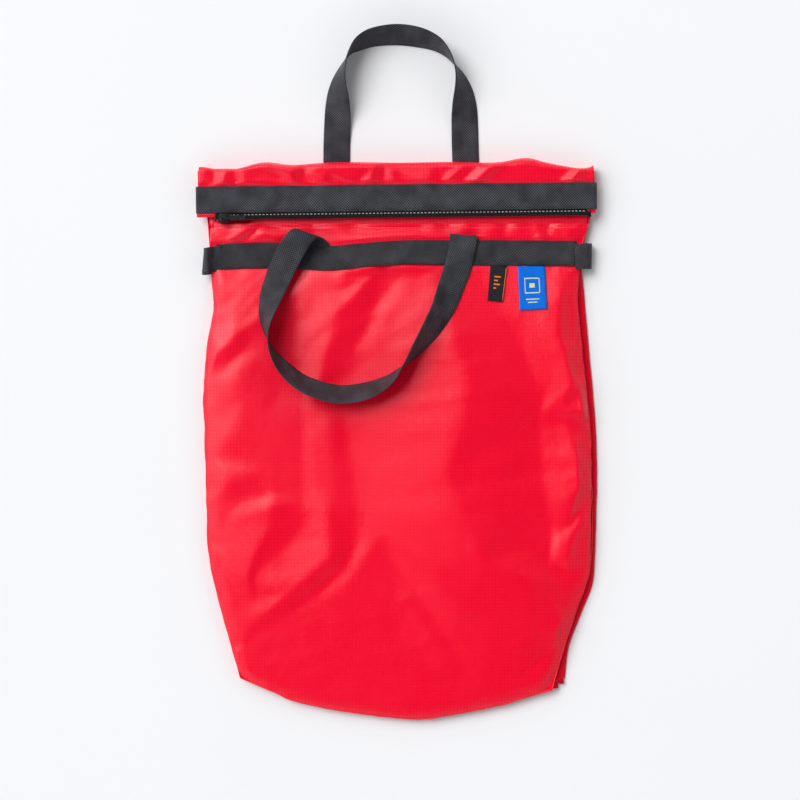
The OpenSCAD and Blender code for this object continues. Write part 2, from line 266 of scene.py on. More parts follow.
def webbing(name, dark, light, rough=0.5):
    """Nylon webbing: a waffle of plump beads, their crowns lit with a painted highlight that is
    brighter in soft patches, and dented.
    """
    look = Look(name, rough, Specular_IOR_Level=0.3)
    beads = look.u.wave(2.7) * look.v.wave(2.6)
    rib = look.u.wave(0.9) * look.v.wave(0.8)
    highlight_patches = (look.noise(22, 3) - 0.2) * 1.5
    height = beads * 0.5 + rib * 0.25
    # Painted highlight: the beads' crowns get the lighter colour, more so in the highlight patches.
    share = (height + 0.28).math("MAXIMUM", 0.0) * highlight_patches.math("MAXIMUM", 0.12)
    look.colour(share, dark, light)
    return look.bump(height + look.noise(0.8, 1) * 0.4 + look.noise(15, 2) * 2.6, 0.34)


RED = ripstop("red_ripstop", (0.93, 0.0003, 0.022), (0.985, 0.0010, 0.034))
# The gussets and the base: the same ripstop painted darker, as shade under the front's rim.
SHADED_RED = ripstop("red_ripstop_painted_shade", (0.78, 0.0003, 0.016), (0.88, 0.001, 0.026), 0.15)
# Each webbing's lighter colour is the painted highlight on its beads' crowns.
WEB = webbing("black_webbing", (0.005, 0.005, 0.008), (0.215, 0.22, 0.265))
WEB_BAND = webbing("black_webbing_band", (0.003, 0.003, 0.005), (0.165, 0.165, 0.195))
BINDING = webbing("binding_tape", (0.030, 0.022, 0.026), (0.085, 0.07, 0.078), 0.75)


def zip_tape_look():
    """The zip's knitted tape."""
    look = Look("zip_tape", 0.7, Sheen_Weight=0.2, Specular_IOR_Level=0.3)
    knit = look.u.wave(0.8) * look.v.wave(0.8)
    look.colour(look.noise(4, 3) + knit * 0.2, (0.004, 0.004, 0.005), (0.018, 0.018, 0.022))
    return look.bump(knit, 0.12)


def plain_look(name, dark, light, rough, size, depth, **sockets):
    """A moulded, painted or spun surface, whose colour and gloss vary a little."""
    look = Look(name, rough, **sockets)
    spots = look.noise(size, 4, on_cloth=False)
    look.colour(spots, dark, light)
    look.rough(spots * 0.2 + (rough - 0.1))
    return look.bump(look.noise(size / 4, 3, on_cloth=False), depth)


def label_look(name, dark, light):
    """A woven label: fine ribs across, with a soft edge of colour."""
    look = Look(name, 0.6, Specular_IOR_Level=0.08)
    ribs = look.v.wave(0.5) * 0.6 + look.u.wave(0.35) * 0.4
    look.colour(look.noise(3, 3) * 0.8 + ribs * 0.12, dark, light)
    return look.bump(ribs, 0.05)


TAPE = zip_tape_look()
COIL = plain_look("zip_coil", (0.004, 0.004, 0.005), (0.02, 0.02, 0.023), 0.4, 3, 0.02,
                  Specular_IOR_Level=0.3)
METAL = plain_look("slider_metal", (0.055, 0.055, 0.060), (0.20, 0.20, 0.21), 0.24, 3, 0.03,
                   Metallic=1.0)
THREAD = plain_look("black_thread", (0.010, 0.010, 0.013), (0.045, 0.045, 0.055), 0.6, 0.6, 0.05,
                    Specular_IOR_Level=0.3)
# The zip's upper stitches: light grey as a painted glint along the thread over the coil.
GLINT = plain_look("zip_thread_painted_glint", (0.24, 0.235, 0.24), (0.85, 0.82, 0.85), 0.4, 9, 0.03,
                   Specular_IOR_Level=0.7)
BLUE = label_look("blue_label", (0.002, 0.13, 0.62), (0.004, 0.19, 0.86))
BLACK = label_look("dark_tag", (0.010, 0.010, 0.013), (0.032, 0.032, 0.038))
YELLOW = label_look("label_marks", (0.62, 0.62, 0.30), (0.85, 0.86, 0.52))
ORANGE = label_look("tag_marks", (0.75, 0.14, 0.02), (0.95, 0.26, 0.05))


# ---------------------------------------------------------------- meshes

def make_mesh(name, verts, faces, look, uvs=None, smooth=True):
    """A mesh object from points in millimetres, with the flat cloth's place as its UVs."""
    mesh = bpy.data.meshes.new(name)
    points = (np.asarray(verts, float) / 1000).tolist()
    mesh.from_pydata(points, [], [tuple(map(int, f)) for f in faces])
    if uvs is not None:
        layer = mesh.uv_layers.new(name="cloth")
        loops = np.zeros(len(mesh.loops), int)
        mesh.loops.foreach_get("vertex_index", loops)
        flat = (np.asarray(uvs, float) / 1000)[loops].astype(np.float32)
        layer.data.foreach_set("uv", flat.ravel())
    mesh.polygons.foreach_set("use_smooth", [smooth] * len(mesh.polygons))
    mesh.materials.append(look.material)
    mesh.validate()
    obj = bpy.data.objects.new(name, mesh)
    scene.collection.objects.link(obj)
    return obj


def grid_faces(rows, cols, closed=False):
    """Quads of a grid of points, row after row. closed joins its last column to its first."""
    i = np.arange(rows - 1)[:, None] * cols
    j = np.arange(cols if closed else cols - 1)[None, :]
    k = (j + 1) % cols
    return np.stack([i + j, i + k, i + cols + k, i + cols + j], -1).reshape(-1, 4)


def finish_piece(obj, slot_name, nodes=(), body=None, joint=None, thick=None):
    """Rides a piece on a body or bakes its place where a joint is given, hides the CAD nodes it
    stands for, and gives a sheet its thickness. slot_name is not used.
    """
    if body:
        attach(obj, body)
    if joint:
        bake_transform(obj)
    if nodes:
        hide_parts(*nodes)
    if thick:
        m = obj.modifiers.new("cloth", "SOLIDIFY")
        m.thickness, m.offset = thick / 1000, -1
    return obj


def sheet_mesh(name, places, look, flat=None):
    """A sheet from a grid of places. flat gives each point's place on the flat cloth."""
    rows, cols = places.shape[:2]
    if flat is None:
        flat = places[..., :2]
    return make_mesh(name, places.reshape(-1, 3), grid_faces(rows, cols), look, flat.reshape(-1, 2))


# A strap's section: shares of its width, and how thick its outermost edge is
STRAP_STEPS = [-0.5, -0.48, -0.34, -0.17, 0, 0.17, 0.34, 0.48, 0.5]
STRAP_RIM = 0.4


def strap_mesh(name, centres, across, look, width=WEB_W, thick=WEB_T, square=1.0):
    """Webbing: a flat section with rounded edges, swept along centres. across points over its
    width, everywhere or at each centre. square is the share by which each section is turned
    square to the path."""
    centres, across = np.broadcast_arrays(np.asarray(centres, float), across)
    along = unit(np.gradient(centres, axis=0))
    skew = (across * along).sum(1) * square
    across = unit(across - skew[:, None] * along)
    up = unit(np.cross(along, across))
    half = [(s * width, thick / 2 * (STRAP_RIM if abs(s) == 0.5 else 1)) for s in STRAP_STEPS]
    section = np.array(half + [(s, -h) for s, h in reversed(half)])
    points = (centres[:, None] + across[:, None] * section[None, :, :1]
              + up[:, None] * section[None, :, 1:])
    uv = xyz(section[None, :, 0] + width / 2, lengths_along(centres)[:, None])
    n = len(section)
    faces = grid_faces(len(centres), n, True).tolist()
    caps = [[j, j + 1, n - 2 - j, n - 1 - j] for j in range(n // 2 - 1)]
    last = (len(centres) - 1) * n
    faces += [c[::-1] for c in caps] + [[last + i for i in c] for c in caps]
    return make_mesh(name, points.reshape(-1, 3), faces, look, uv.reshape(-1, 2))


def tube_mesh(name, path, look, radius, sides=8):
    """A round rope of fabric or coil along a path. radius is a number or one per point."""
    path = np.asarray(path, float)
    along = unit(np.gradient(path, axis=0))
    ref = np.where(np.abs(along[:, 2:3]) > 0.9, [[1.0, 0, 0]], [[0, 0, 1.0]])
    side = unit(np.cross(along, ref))
    up = np.cross(side, along)
    w = 2 * np.pi * np.arange(sides) / sides
    radius = np.broadcast_to(np.asarray(radius, float), (len(path),))
    points = path[:, None] + radius[:, None, None] * (
        side[:, None] * np.cos(w)[None, :, None] + up[:, None] * np.sin(w)[None, :, None])
    uv = xyz((w / (2 * np.pi) * 6)[None, :], lengths_along(path)[:, None])
    last = (len(path) - 1) * sides
    faces = grid_faces(len(path), sides, True).tolist()
    faces += [list(range(sides))[::-1], [last + i for i in range(sides)]]
    return make_mesh(name, points.reshape(-1, 3), faces, look, uv.reshape(-1, 2))


# A stitch's rings: share of its length, and radius and rise as shares of the thread's radius
STITCH_RINGS = [(-0.5, 0.0, -1.0), (-0.34, 0.9, 0.25), (0.0, 1.0, 0.6), (0.34, 0.9, 0.25),
                (0.5, 0.0, -1.0)]


def stitch_mesh(name, rows, look, pitch=3.0, length=2.1, radius=0.28, sides=6):
    """Rows of thread: a small sunken dash at every pitch along each row of (place, up) points."""
    verts, faces = [], []
    for row in rows:
        run = lengths_along(row[:, :3])
        for s in np.arange(pitch / 2, run[-1] - pitch / 2, pitch):
            start, middle, end = (
                np.array([np.interp(s + d, run, row[:, k]) for k in range(6)])
                for d in (-length / 2, 0, length / 2))
            along = end[:3] - start[:3]
            along /= np.linalg.norm(along)
            up = middle[3:] / np.linalg.norm(middle[3:])
            side = np.cross(up, along)
            base = len(verts)
            for t, r, h in STITCH_RINGS:
                c = middle[:3] + along * t * length + up * (h * radius * 0.5)
                for w in (2 * math.pi * q / sides for q in range(sides)):
                    out = side * math.cos(w) + up * math.sin(w)
                    verts.append(c + out * max(r, 0.12) * radius)
            faces += (grid_faces(len(STITCH_RINGS), sides, True) + base).tolist()
            last = len(verts) - sides
            faces += [tuple(reversed(range(base, base + sides))), tuple(range(last, last + sides))]
    return make_mesh(name, verts, faces, look)


def with_up(line, up=(0, 0, 1.0)):
    """A row for stitch_mesh: its places, and which way is up at each."""
    return np.column_stack([line, np.broadcast_to(up, (len(line), 3))])


# ---------------------------------------------------------------- the bag's outline

BASE_LEFT, BASE_RIGHT = (-153.0, -298.5), (152.5, -310.0)
BACK_LEFT, BACK_RIGHT = (-152.0, -297.0), (165.0, -300.0)
NECK_Y = 147.0
# Sides are X at each Y, bottom edges are Y at each X
LEFT_EDGE = [(-298.5, -153.0), (-266, -162), (-222, -174), (-193, -181), (-160, -184.5),
             (-124, -186), (-60, -187), (-16, -188.5), (28, -185), (65, -178.5), (92, -180),
             (115, -182), (NECK_Y, -184.5)]
RIGHT_EDGE = [(-310, 152.5), (-261, 166.5), (-222, 180), (-205, 186), (-183, 189.5),
              (-100, 190.5), (-65, 189.5), (-26, 186.5), (28, 181), (72, 177), (103, 179),
              (130, 183), (NECK_Y, 188)]
BACK_RIGHT_EDGE = [(-300, 165), (-266, 170), (-237, 181), (-207, 192.5), (-183, 194.5),
                   (-124, 196.5), (-104, 197), (-55, 195.5), (-26, 193.5), (28, 188.5),
                   (57, 186), (82, 184), (101, 181.5), (130, 184), (NECK_Y, 189), (200, 193)]
BACK_LEFT_EDGE = [(-297, -152), (-266, -160.5), (-222, -172), (-160, -183), (-60, -185.5),
                  (-16, -187), (28, -183.5), (65, -177), (115, -180.5), (NECK_Y, -184),
                  (200, -193)]
BOTTOM_EDGE = [(-153, -298.5), (-119, -313), (-104, -320), (-75, -327), (-46, -332),
               (-1.5, -337.6), (28, -338.6), (57, -334), (101, -325.5), (132, -316), (152.5, -310)]
BACK_BOTTOM_EDGE = [(-152, -297), (-104, -317), (-46, -329.5), (0, -335), (57, -331.5),
                    (101, -322), (145, -309), (165, -300)]
SIDES = [("left", -1, LEFT_EDGE, BACK_LEFT_EDGE), ("right", 1, RIGHT_EDGE, BACK_RIGHT_EDGE)]


def coons(bottom, top, left, right):
    """A patch between four edges: bottom and top run across, left and right run up."""
    u = np.linspace(0, 1, len(bottom))[None, :, None]
    v = np.linspace(0, 1, len(left))[:, None, None]
    b, t, l, r = bottom[None], top[None], left[:, None], right[:, None]
    corners = ((1 - u) * (1 - v) * bottom[0] + u * (1 - v) * bottom[-1]
               + (1 - u) * v * top[0] + u * v * top[-1])
    return (1 - v) * b + v * t + (1 - u) * l + u * r - corners


def crowded(count, share):
    """Shares from 0 to 1 that lie closer together near both ends."""
    s = np.linspace(0, 1, count)
    return s - share * np.sin(2 * np.pi * s) / (2 * np.pi)


def panel_grid(bottom_edge, left_edge, right_edge, top_y, cols, rows):
    """Places in X and Y over a panel. Its edges get closer lines than its middle."""
    across, up = crowded(cols, 0.9), crowded(rows, 0.9)
    left, right = (pick(spline([(x, y) for y, x in edge if y <= top_y], 400), up)
                   for edge in (left_edge, right_edge))
    top = left[-1] + (right[-1] - left[-1]) * across[:, None]
    return coons(pick(spline(bottom_edge, 400), across), top, left, right)


# ---------------------------------------------------------------- heights of the front

# The front's creases. Each line is a ridge or a valley through (x, y, z) points; the fabric
# between them lies in nearly flat facets, as a stiff thin nylon does.
CREASES = [
    # the long ridge from under the front loop, down and to the right
    [(50, 66, 19), (57, 33, 22.5), (70, 0, 23), (66, -50, 22.5), (47, -102, 20.5), (60, -123, 21),
     (85, -183, 20.5), (125, -200, 18.5), (165, -234, 14.5)],
    # the valley beside it, from the labels down
    [(86, 78, 12), (103, 58, 12.8), (121, 25, 12.6), (142, -25, 12), (136, -47, 11.8),
     (140, -80, 11.6), (143, -110, 11.6), (150, -150, 11.8), (150, -188, 12.2)],
    # ridges near the right seam, and the notch between them
    [(152, 92, 12.5), (160, 75, 16), (158, 40, 17), (166, 20, 17.5), (176, -15, 17.8),
     (182, -38, 17)],
    [(150, -33, 14.6), (166, -39, 16), (182, -41, 17)],
    [(166, -49, 11.8), (183, -47, 10.4), (184, -70, 11.6)],
    [(166, -55, 14.4), (178, -82, 16.8), (180, -108, 17), (172, -128, 15.8), (167, -144, 15.2)],
    [(170, -147, 12.2), (187, -121, 10.6)],
    [(178, -146, 14.6), (166, -182, 15.4), (157, -166, 15)],
    # the valley left of the middle and the big facet's left side
    [(-14, 98, 12), (-20, 60, 12.2), (-40, 20, 12.2), (-62, -5, 12.4), (-52, -40, 13),
     (-44, -90, 13.2), (-40, -125, 13.4), (-37, -147, 13)],
    # inside the front loop
    [(-97, 82, 10), (-99, 40, 10.5), (-95, 5, 11.5)],
    [(-72, -2, 15.6), (-66, 25, 16.4), (-57, 60, 17), (-36, 82, 16.6), (-16, 99, 14.5)],
    [(-78, 80, 13.4), (-57, 61, 16.9), (-50, 78, 14.8), (-30, 96, 13.6)],
    [(-9, 104, 14.2), (0, 92, 12.4), (9, 82, 13.6)],
    [(2, 104, 15), (22, 94, 14.6), (38, 90, 16.5)],
    # two thin lengthwise folds below the loop
    [(-89, -33, 13.2), (-89, -110, 13), (-89, -146, 12.8)],
    [(-84, -33, 14.5), (-84, -110, 14.3), (-85, -144, 13.8)],
    [(-63, -45, 15.6), (-61, -95, 15.4), (-64, -122, 15.6)],
    # upper left: a ridge, the valley under it and a second small ridge
    [(-182, 2, 12.5), (-172, 24, 16.2), (-158, 38, 16.8), (-140, 44, 15.5)],
    [(-178, -5, 11.6), (-162, 9, 12.6), (-146, 22, 13.8)],
    [(-177, -12, 12.6), (-152, 10, 15.8), (-160, -14, 15.2)],
    # lower left: the raised patch with a groove round it
    [(-171, -168, 11.8), (-168, -148, 11.8), (-158, -131, 12.4), (-118, -120, 13.8)],
    [(-155, -136, 14.2), (-121, -126, 18), (-124, -150, 17.6), (-143, -201, 17), (-160, -198, 15)],
    [(-96, -128, 13.4), (-90, -150, 12.8), (-118, -178, 12.6), (-140, -196, 12.8)],
    [(-170, -193, 11.2), (-155, -214, 11.8), (-138, -223, 12.6)],
    # the long curved ridge and valley below it
    [(-68, -131, 17.4), (-62, -180, 18.6), (-95, -209, 17.8), (-126, -234, 16), (-142, -246, 14)],
    [(-38, -149, 12.8), (-41, -168, 12.4), (-53, -192, 12.4), (-81, -217, 12.4),
     (-120, -243, 12.4)],
    [(-21, -166, 15.4), (-42, -198, 15.4), (-62, -219, 14.6)],
    # the slanting stripe of the lower middle
    [(-12, -157, 16.6), (30, -195, 18.4), (60, -228, 17.6), (76, -247, 15.6)],
    [(-14, -169, 14.2), (10, -204, 13), (34, -240, 12.6), (54, -266, 12.6)],
    [(12, -222, 14.2), (32, -255, 14.6), (44, -272, 14)],
    [(2, -245, 12.6), (20, -270, 12.4), (36, -300, 12)],
]
# Single places that the creases leave open
PLACES = [
    (-160, 62, 14.4), (-170, 78, 12.8), (-146, 78, 14.4), (-128, 60, 15.2), (-126, 20, 14.6),
    (-150, -32, 14.9), (-166, -62, 15), (-130, -42, 14.3), (-166, -104, 15.2), (-126, -92, 14.5),
    (-104, -62, 13.9), (-104, -108, 13.8), (-52, -66, 13.4), (0, -60, 17), (0, -110, 16.8),
    (100, -232, 17.4), (131, -242, 16.6), (118, -296, 12.8), (150, -286, 12.6), (158, -252, 15),
    (90, -262, 14.8), (-5, -232, 13.6), (-60, -250, 13.8), (-104, -290, 12.4), (-44, -292, 12.6),
    (0, -306, 12), (36, -320, 12.4), (80, -305, 12.8), (-150, -262, 12.6), (105, -60, 17),
    (105, -120, 16.2), (118, -170, 14.4), (112, 84, 11.6), (128, 60, 14), (140, 84, 12),
    (60, 88, 13.6), (-140, 99, 10.2), (-108, 98, 9.4),
]
# Folds of the yoke, between the band and the zip
YOKE_CREASES = [
    [(-179, 144, 8.4), (-170, 131, 8.6)], [(-174, 146, 9.8), (-163, 134, 9.6)],
    [(-163, 132, 10.6), (-148, 139, 11.2), (-135, 148, 9.8)],
    [(-152, 131, 8.8), (-141, 136, 8.6), (-128, 145, 8.4)],
    [(-140, 132, 9.8), (-133, 139, 11), (-116, 134, 10.6)],
    [(-130, 149, 8), (-116, 144, 8.2), (-101, 139, 8.6)],
    [(-112, 147, 9.6), (-95, 144, 9.8)], [(-85, 148, 7.9), (-80, 140, 8.4)],
    [(-72, 147, 9.8), (-57, 143, 9.8), (-58, 133, 9.4)], [(-45, 148, 8), (-40, 140, 8.4)],
    [(-47, 130, 10.6), (-25, 134, 10.8), (12, 137, 10.8), (36, 134, 10.2)],
    [(-38, 137, 8.8), (-10, 140, 8.8), (22, 141, 8.6)], [(-22, 146, 9.6), (8, 147, 9.7)],
    [(48, 148, 7.9), (46, 138, 8.6)], [(56, 138, 9), (70, 147, 9.9)],
    [(74, 136, 8.4), (78, 146, 9.2)], [(98, 147, 9.6), (92, 136, 9.6)],
    [(108, 148, 8), (106, 133, 8.6)], [(116, 149, 9.9), (128, 136, 9.2)],
    [(140, 133, 10.4), (137, 142, 9.4)], [(149, 148, 7.9), (147, 134, 8.6)],
    [(160, 148, 9.8), (172, 141, 10), (167, 132, 9.2)],
]
# Folds of the collar's outer side above the mouth's webbing, as heights over its flat lie
COLLAR_CREASES = [
    [(-190, 186, 0.4), (-188, 201, 0.8)], [(-178, 185, 0), (-178, 201, 0.2)],
    [(-170, 185, 1.3), (-166, 200, 1.1)], [(-156, 186, 0.2), (-158, 199, 0.7)],
    [(-148, 186, 1), (-130, 197, 0.8), (-112, 192, 0.5), (-110, 186, 0.3)],
    [(-150, 204, 1.6), (-120, 203, 2.3), (-103, 196, 2.4), (-98, 185, 1.2)],
    [(-92, 204, 0.6), (-90, 196, 0.2), (-80, 187, 0)], [(-84, 193, 1.0), (-71, 185, 1.1)],
    [(-78, 205, 1.9), (-66, 197, 1.7), (-46, 187, 0.9)], [(-62, 191, 0.2), (-40, 185, 0.2)],
    [(-20, 206, 2.1), (-26, 186, 1.8)], [(-12, 205, 0.5), (-14, 186, 0.2)],
    [(-6, 198, 1.2), (-3, 186, 1.1)], [(2, 198, 0.6), (8, 186, 0.3)],
    [(30, 187, 1.2), (38, 204, 0.8)], [(44, 187, 0.2), (54, 200, 0.7)],
    [(50, 189, 1.1), (66, 203, 1.5)], [(63, 186, 0.1), (82, 205, 0.6)],
    [(75, 186, 2.0), (96, 206, 2.7)], [(90, 187, 0.6), (112, 205, 1.2)],
    [(140, 187, 0.4), (142, 206, 1.0)], [(158, 187, 0.1), (172, 200, 0.2)],
    [(169, 187, 1.7), (180, 201, 1.8)], [(184, 187, 0.5), (187, 202, 0.5)],
]
# Height of the fabric under the front band's lower and upper edge, across the bag
BAND_LOWER_Z = [(-190, 8.5), (-150, 9.0), (-100, 9.8), (-65, 14.5), (-25, 18.0), (15, 17.5),
                (50, 13.5), (80, 9.8), (120, 9.2), (160, 9.2), (190, 8.6)]
BAND_UPPER_Z = [(-190, 8.2), (-100, 8.6), (-50, 9.8), (-20, 10.6), (20, 10.4), (60, 8.9),
                (190, 8.3)]
# Y of the front band's middle, across the bag
BAND_CENTRE = [(-190, 113.4), (-150, 115.4), (-112, 115.6), (-65, 113.0), (-25, 116.4),
               (5, 118.3), (45, 118.4), (100, 118.2), (190, 117.4)]
RIM_Z = 7.0
# Heights are spread by a factor about the cloth's usual height there
LOFT, RELIEF = 13.0, 1.15
YOKE_LOFT, YOKE_RELIEF = 9.2, 2.3
COLLAR_RELIEF_GAIN = 2.6


class Heights:
    """Heights on a raster between two corners, made from facets between given points."""
    CELL = 1.5

    def __init__(self, lo, hi, lines, places):
        points, edges = [], []
        for line in lines:
            edges += [(len(points) + k, len(points) + k + 1) for k in range(len(line) - 1)]
            points += line
        points += places
        self.lo = np.array(lo, float)
        self.size = tuple(np.ceil((np.array(hi) - lo) / self.CELL).astype(int) + 1)
        flat, _, tris, origin, *_ = delaunay_2d_cdt(
            [Vector(p[:2]) for p in points], edges, [], 0, 1e-4)
        z = [np.mean([points[k][2] for k in o]) if len(o) else None for o in origin]
        verts = [np.array([p.x, p.y]) for p in flat]
        known = [i for i, h in enumerate(z) if h is not None]
        # A point that two crossing lines add takes the height of the nearest given one
        for i in (i for i, h in enumerate(z) if h is None):
            z[i] = z[min(known, key=lambda k: np.linalg.norm(verts[k] - verts[i]))]
        self.grid = np.full(self.size, points[-1][2])
        for tri in tris:
            self.fill([verts[k] for k in tri], [z[k] for k in tri])

    def fill(self, corners, heights):
        """Writes one flat facet to the raster."""
        a, b, c = corners
        lo = np.floor((np.min(corners, 0) - self.lo) / self.CELL).astype(int).clip(0)
        hi = np.ceil((np.max(corners, 0) - self.lo) / self.CELL).astype(int) + 1
        hi = np.minimum(hi, self.size)
        if (hi <= lo).any():
            return
        ii, jj = np.meshgrid(np.arange(lo[0], hi[0]), np.arange(lo[1], hi[1]), indexing="ij")
        x, y = self.lo[0] + ii * self.CELL, self.lo[1] + jj * self.CELL
        det = (b[1] - c[1]) * (a[0] - c[0]) + (c[0] - b[0]) * (a[1] - c[1])
        if abs(det) < 1e-9:
            return
        p = ((b[1] - c[1]) * (x - c[0]) + (c[0] - b[0]) * (y - c[1])) / det
        q = ((c[1] - a[1]) * (x - c[0]) + (a[0] - c[0]) * (y - c[1])) / det
        inside = (p >= -1e-6) & (q >= -1e-6) & (p + q <= 1 + 1e-6)
        h = p * heights[0] + q * heights[1] + (1 - p - q) * heights[2]
        self.grid[ii[inside], jj[inside]] = h[inside]

    def soften(self, sharp, broad, share):
        """Rounds the creases, mixing a little of a broad blur into a sharp one."""
        self.grid = (1 - share) * self.blurred(sharp) + share * self.blurred(broad)

    def blurred(self, size):
        """The raster, blurred over size millimetres."""
        n = int(3 * size / self.CELL) + 1
        k = np.exp(-0.5 * (np.arange(-n, n + 1) * self.CELL / size) ** 2)
        k /= k.sum()
        g = np.pad(self.grid, n, mode="edge")
        g = np.apply_along_axis(lambda r: np.convolve(r, k, "valid"), 0, g)
        return np.apply_along_axis(lambda r: np.convolve(r, k, "valid"), 1, g)

    def at(self, x, y):
        """Heights at places, from the four cells round each."""
        u = np.clip((np.asarray(x, float) - self.lo[0]) / self.CELL, 0, self.size[0] - 1.001)
        v = np.clip((np.asarray(y, float) - self.lo[1]) / self.CELL, 0, self.size[1] - 1.001)
        i, j = u.astype(int), v.astype(int)
        fu, fv = u - i, v - j
        g = self.grid
        return ((g[i, j] * (1 - fu) + g[i + 1, j] * fu) * (1 - fv)
                + (g[i, j + 1] * (1 - fu) + g[i + 1, j + 1] * fu) * fv)


def spread(x, y, z):
    """A height moved away from the loft: more so towards the lower right, which the light rakes
    less, and less so at the lower left."""
    right = min(max((x - y - 60) / 300, 0), 1)
    left = min(max((-x - 20) / 60, 0), 1) * min(max((-y - 100) / 40, 0), 1)
    return x, y, LOFT + (z - LOFT) * (RELIEF + 0.5 * right - 0.35 * left)


# Height of the cloth at insets from its edge, rising from just outside the seam
SIDE_RISE = [(-12, 6.0), (0, RIM_Z + 1), (3.5, 10.6), (11, 12.4)]
BASE_RISE = [(-12, 6.0), (0, RIM_Z + 1), (3.5, 10.2), (12, 11.8)]


def front_heights():
    """The front fabric's height: facets inside, falling to the seams over a narrow rim."""
    lines = [[spread(*p) for p in line] for line in CREASES]
    lines += [[(x, y, YOKE_LOFT + (z - YOKE_LOFT) * YOKE_RELIEF) for x, y, z in line]
              for line in YOKE_CREASES]
    points = [spread(*p) for p in PLACES]
    for x in np.arange(-175, 176, 14.0):
        mid = float(ease(x, BAND_CENTRE))
        points += [(x, mid - 14, float(ease(x, BAND_LOWER_Z))),
                   (x, mid + 12, float(ease(x, BAND_UPPER_Z))), (x, NECK_Y + 8, 8.6)]
    for _, side, edge, _ in SIDES:
        for y in np.arange(-290, 92, 19.0):
            x = float(ease(y, edge))
            points += [(x - side * inset, y, z) for inset, z in SIDE_RISE]
    for x in np.arange(-140, 145, 20.0):
        y = float(ease(x, BOTTOM_EDGE))
        points += [(x, y + inset, z) for inset, z in BASE_RISE]
    points += [(side, y, 8.0) for side in (-206, 206) for y in (-350, -200, 0, 100, 165)]
    heights = Heights((-214, -356), (214, 168), lines, points)
    heights.soften(1.3, 6.0, 0.22)
    return heights


HEIGHTS = front_heights()
COLLAR_RELIEF = Heights((-200, 178), (200, 212), COLLAR_CREASES,
                        [(x, y, 0.3) for x in (-200, 200) for y in (178, 212)])
COLLAR_RELIEF.soften(0.9, 3.0, 0.2)
COLLAR_RELIEF.grid *= COLLAR_RELIEF_GAIN


def gathers(x, y):
    """Small puckers where the fabric is sewn to webbing and along the seams."""
    mid = ease(x, BAND_CENTRE)
    under = np.clip((y - (mid - 40)) / 26, 0, 1) * np.clip((mid - 8 - y) / 6, 0, 1)
    over = np.clip((y - mid - 8) / 5, 0, 1)
    pleat = ripple(x, y * 0.22, 7.5, 11) * 1.1 + ripple(x, y * 0.3, 3.8, 12) * 0.45
    tuck = ripple(x * 0.25, y, 8.5, 13) + ripple(x * 0.3, y, 4.2, 14) * 0.4
    seam = np.exp(-from_sides(x, y) / 9)
    hem = np.exp(-np.abs(y - ease(x, BOTTOM_EDGE)) / 7)
    return (pleat * (under * 0.55 + over * 0.15) + tuck * seam * 0.9
            + ripple(x, y * 0.3, 9.0, 15) * hem * 0.7)


def from_sides(x, y):
    """How far a place is from the nearer side seam."""
    return np.minimum(np.abs(x - ease(y, LEFT_EDGE)), np.abs(x - ease(y, RIGHT_EDGE)))


def crumple(x, y):
    """Fine facets from folding and packing the bag, over the whole cloth."""
    a = 1 - np.abs(ripple(x + 0.4 * y, y - 0.3 * x, 26, 21))
    b = 1 - np.abs(ripple(x - 0.5 * y, y + 0.4 * x, 14, 22))
    return (a**2 - 0.5) * 0.4 + (b**2 - 0.5) * 0.25 + ripple(x, y, 6.0, 23) * 0.1


# ---------------------------------------------------------------- the body's fabric

GUSSET_T = NYLON_T * 0.8
# Where the front's cloth goes over from the lifting front to the bag, and how the gussets and
# the base stretch between the two
FRONT_LIFTS = ("front", "bag", (0, 0.130, 0), (0, 0.145, 0))
GUSSET_STRETCHES = ("bag", "front", (0, 0, 0.0010), (0, 0, 0.0068))


def band_plane(x, y):
    """Height of the front band's underside at a place, and how far the place is from its centre."""
    mid, low, high = ease(x, BAND_CENTRE), ease(x, BAND_LOWER_Z), ease(x, BAND_UPPER_Z)
    share = (y - mid) / WEB_W + 0.5
    return low + (high - low) * share, y - mid


def front_z(x, y):
    """Height of the front fabric's top side before it is let settle."""
    z = HEIGHTS.at(x, y) + gathers(x, y)
    edge = np.minimum(from_sides(x, y), np.abs(y - ease(x, BOTTOM_EDGE)))
    z = z + crumple(x, y) * np.clip(edge / 18, 0.15, 1) * np.clip((96 - y) / 20, 0.1, 1)
    plane, off = band_plane(x, y)
    under = np.clip(1.6 - np.abs(off) / 9, 0, 1)
    z = z * (1 - under) + (plane - 0.15) * under
    return np.where(y > NECK_Y, np.minimum(z, 9.8), z)


# The layer that the fabric settles on lies this far below it, in millimetres
LAYER_GAP = 1.0
# Share of the way that the creased fabric gives; its folds are set and hold the rest
GIVE = 0.4
# The cloth's shrinking; below 0 it is longer than its span
SLACK = -0.006
SETTLE_FRAMES = 14


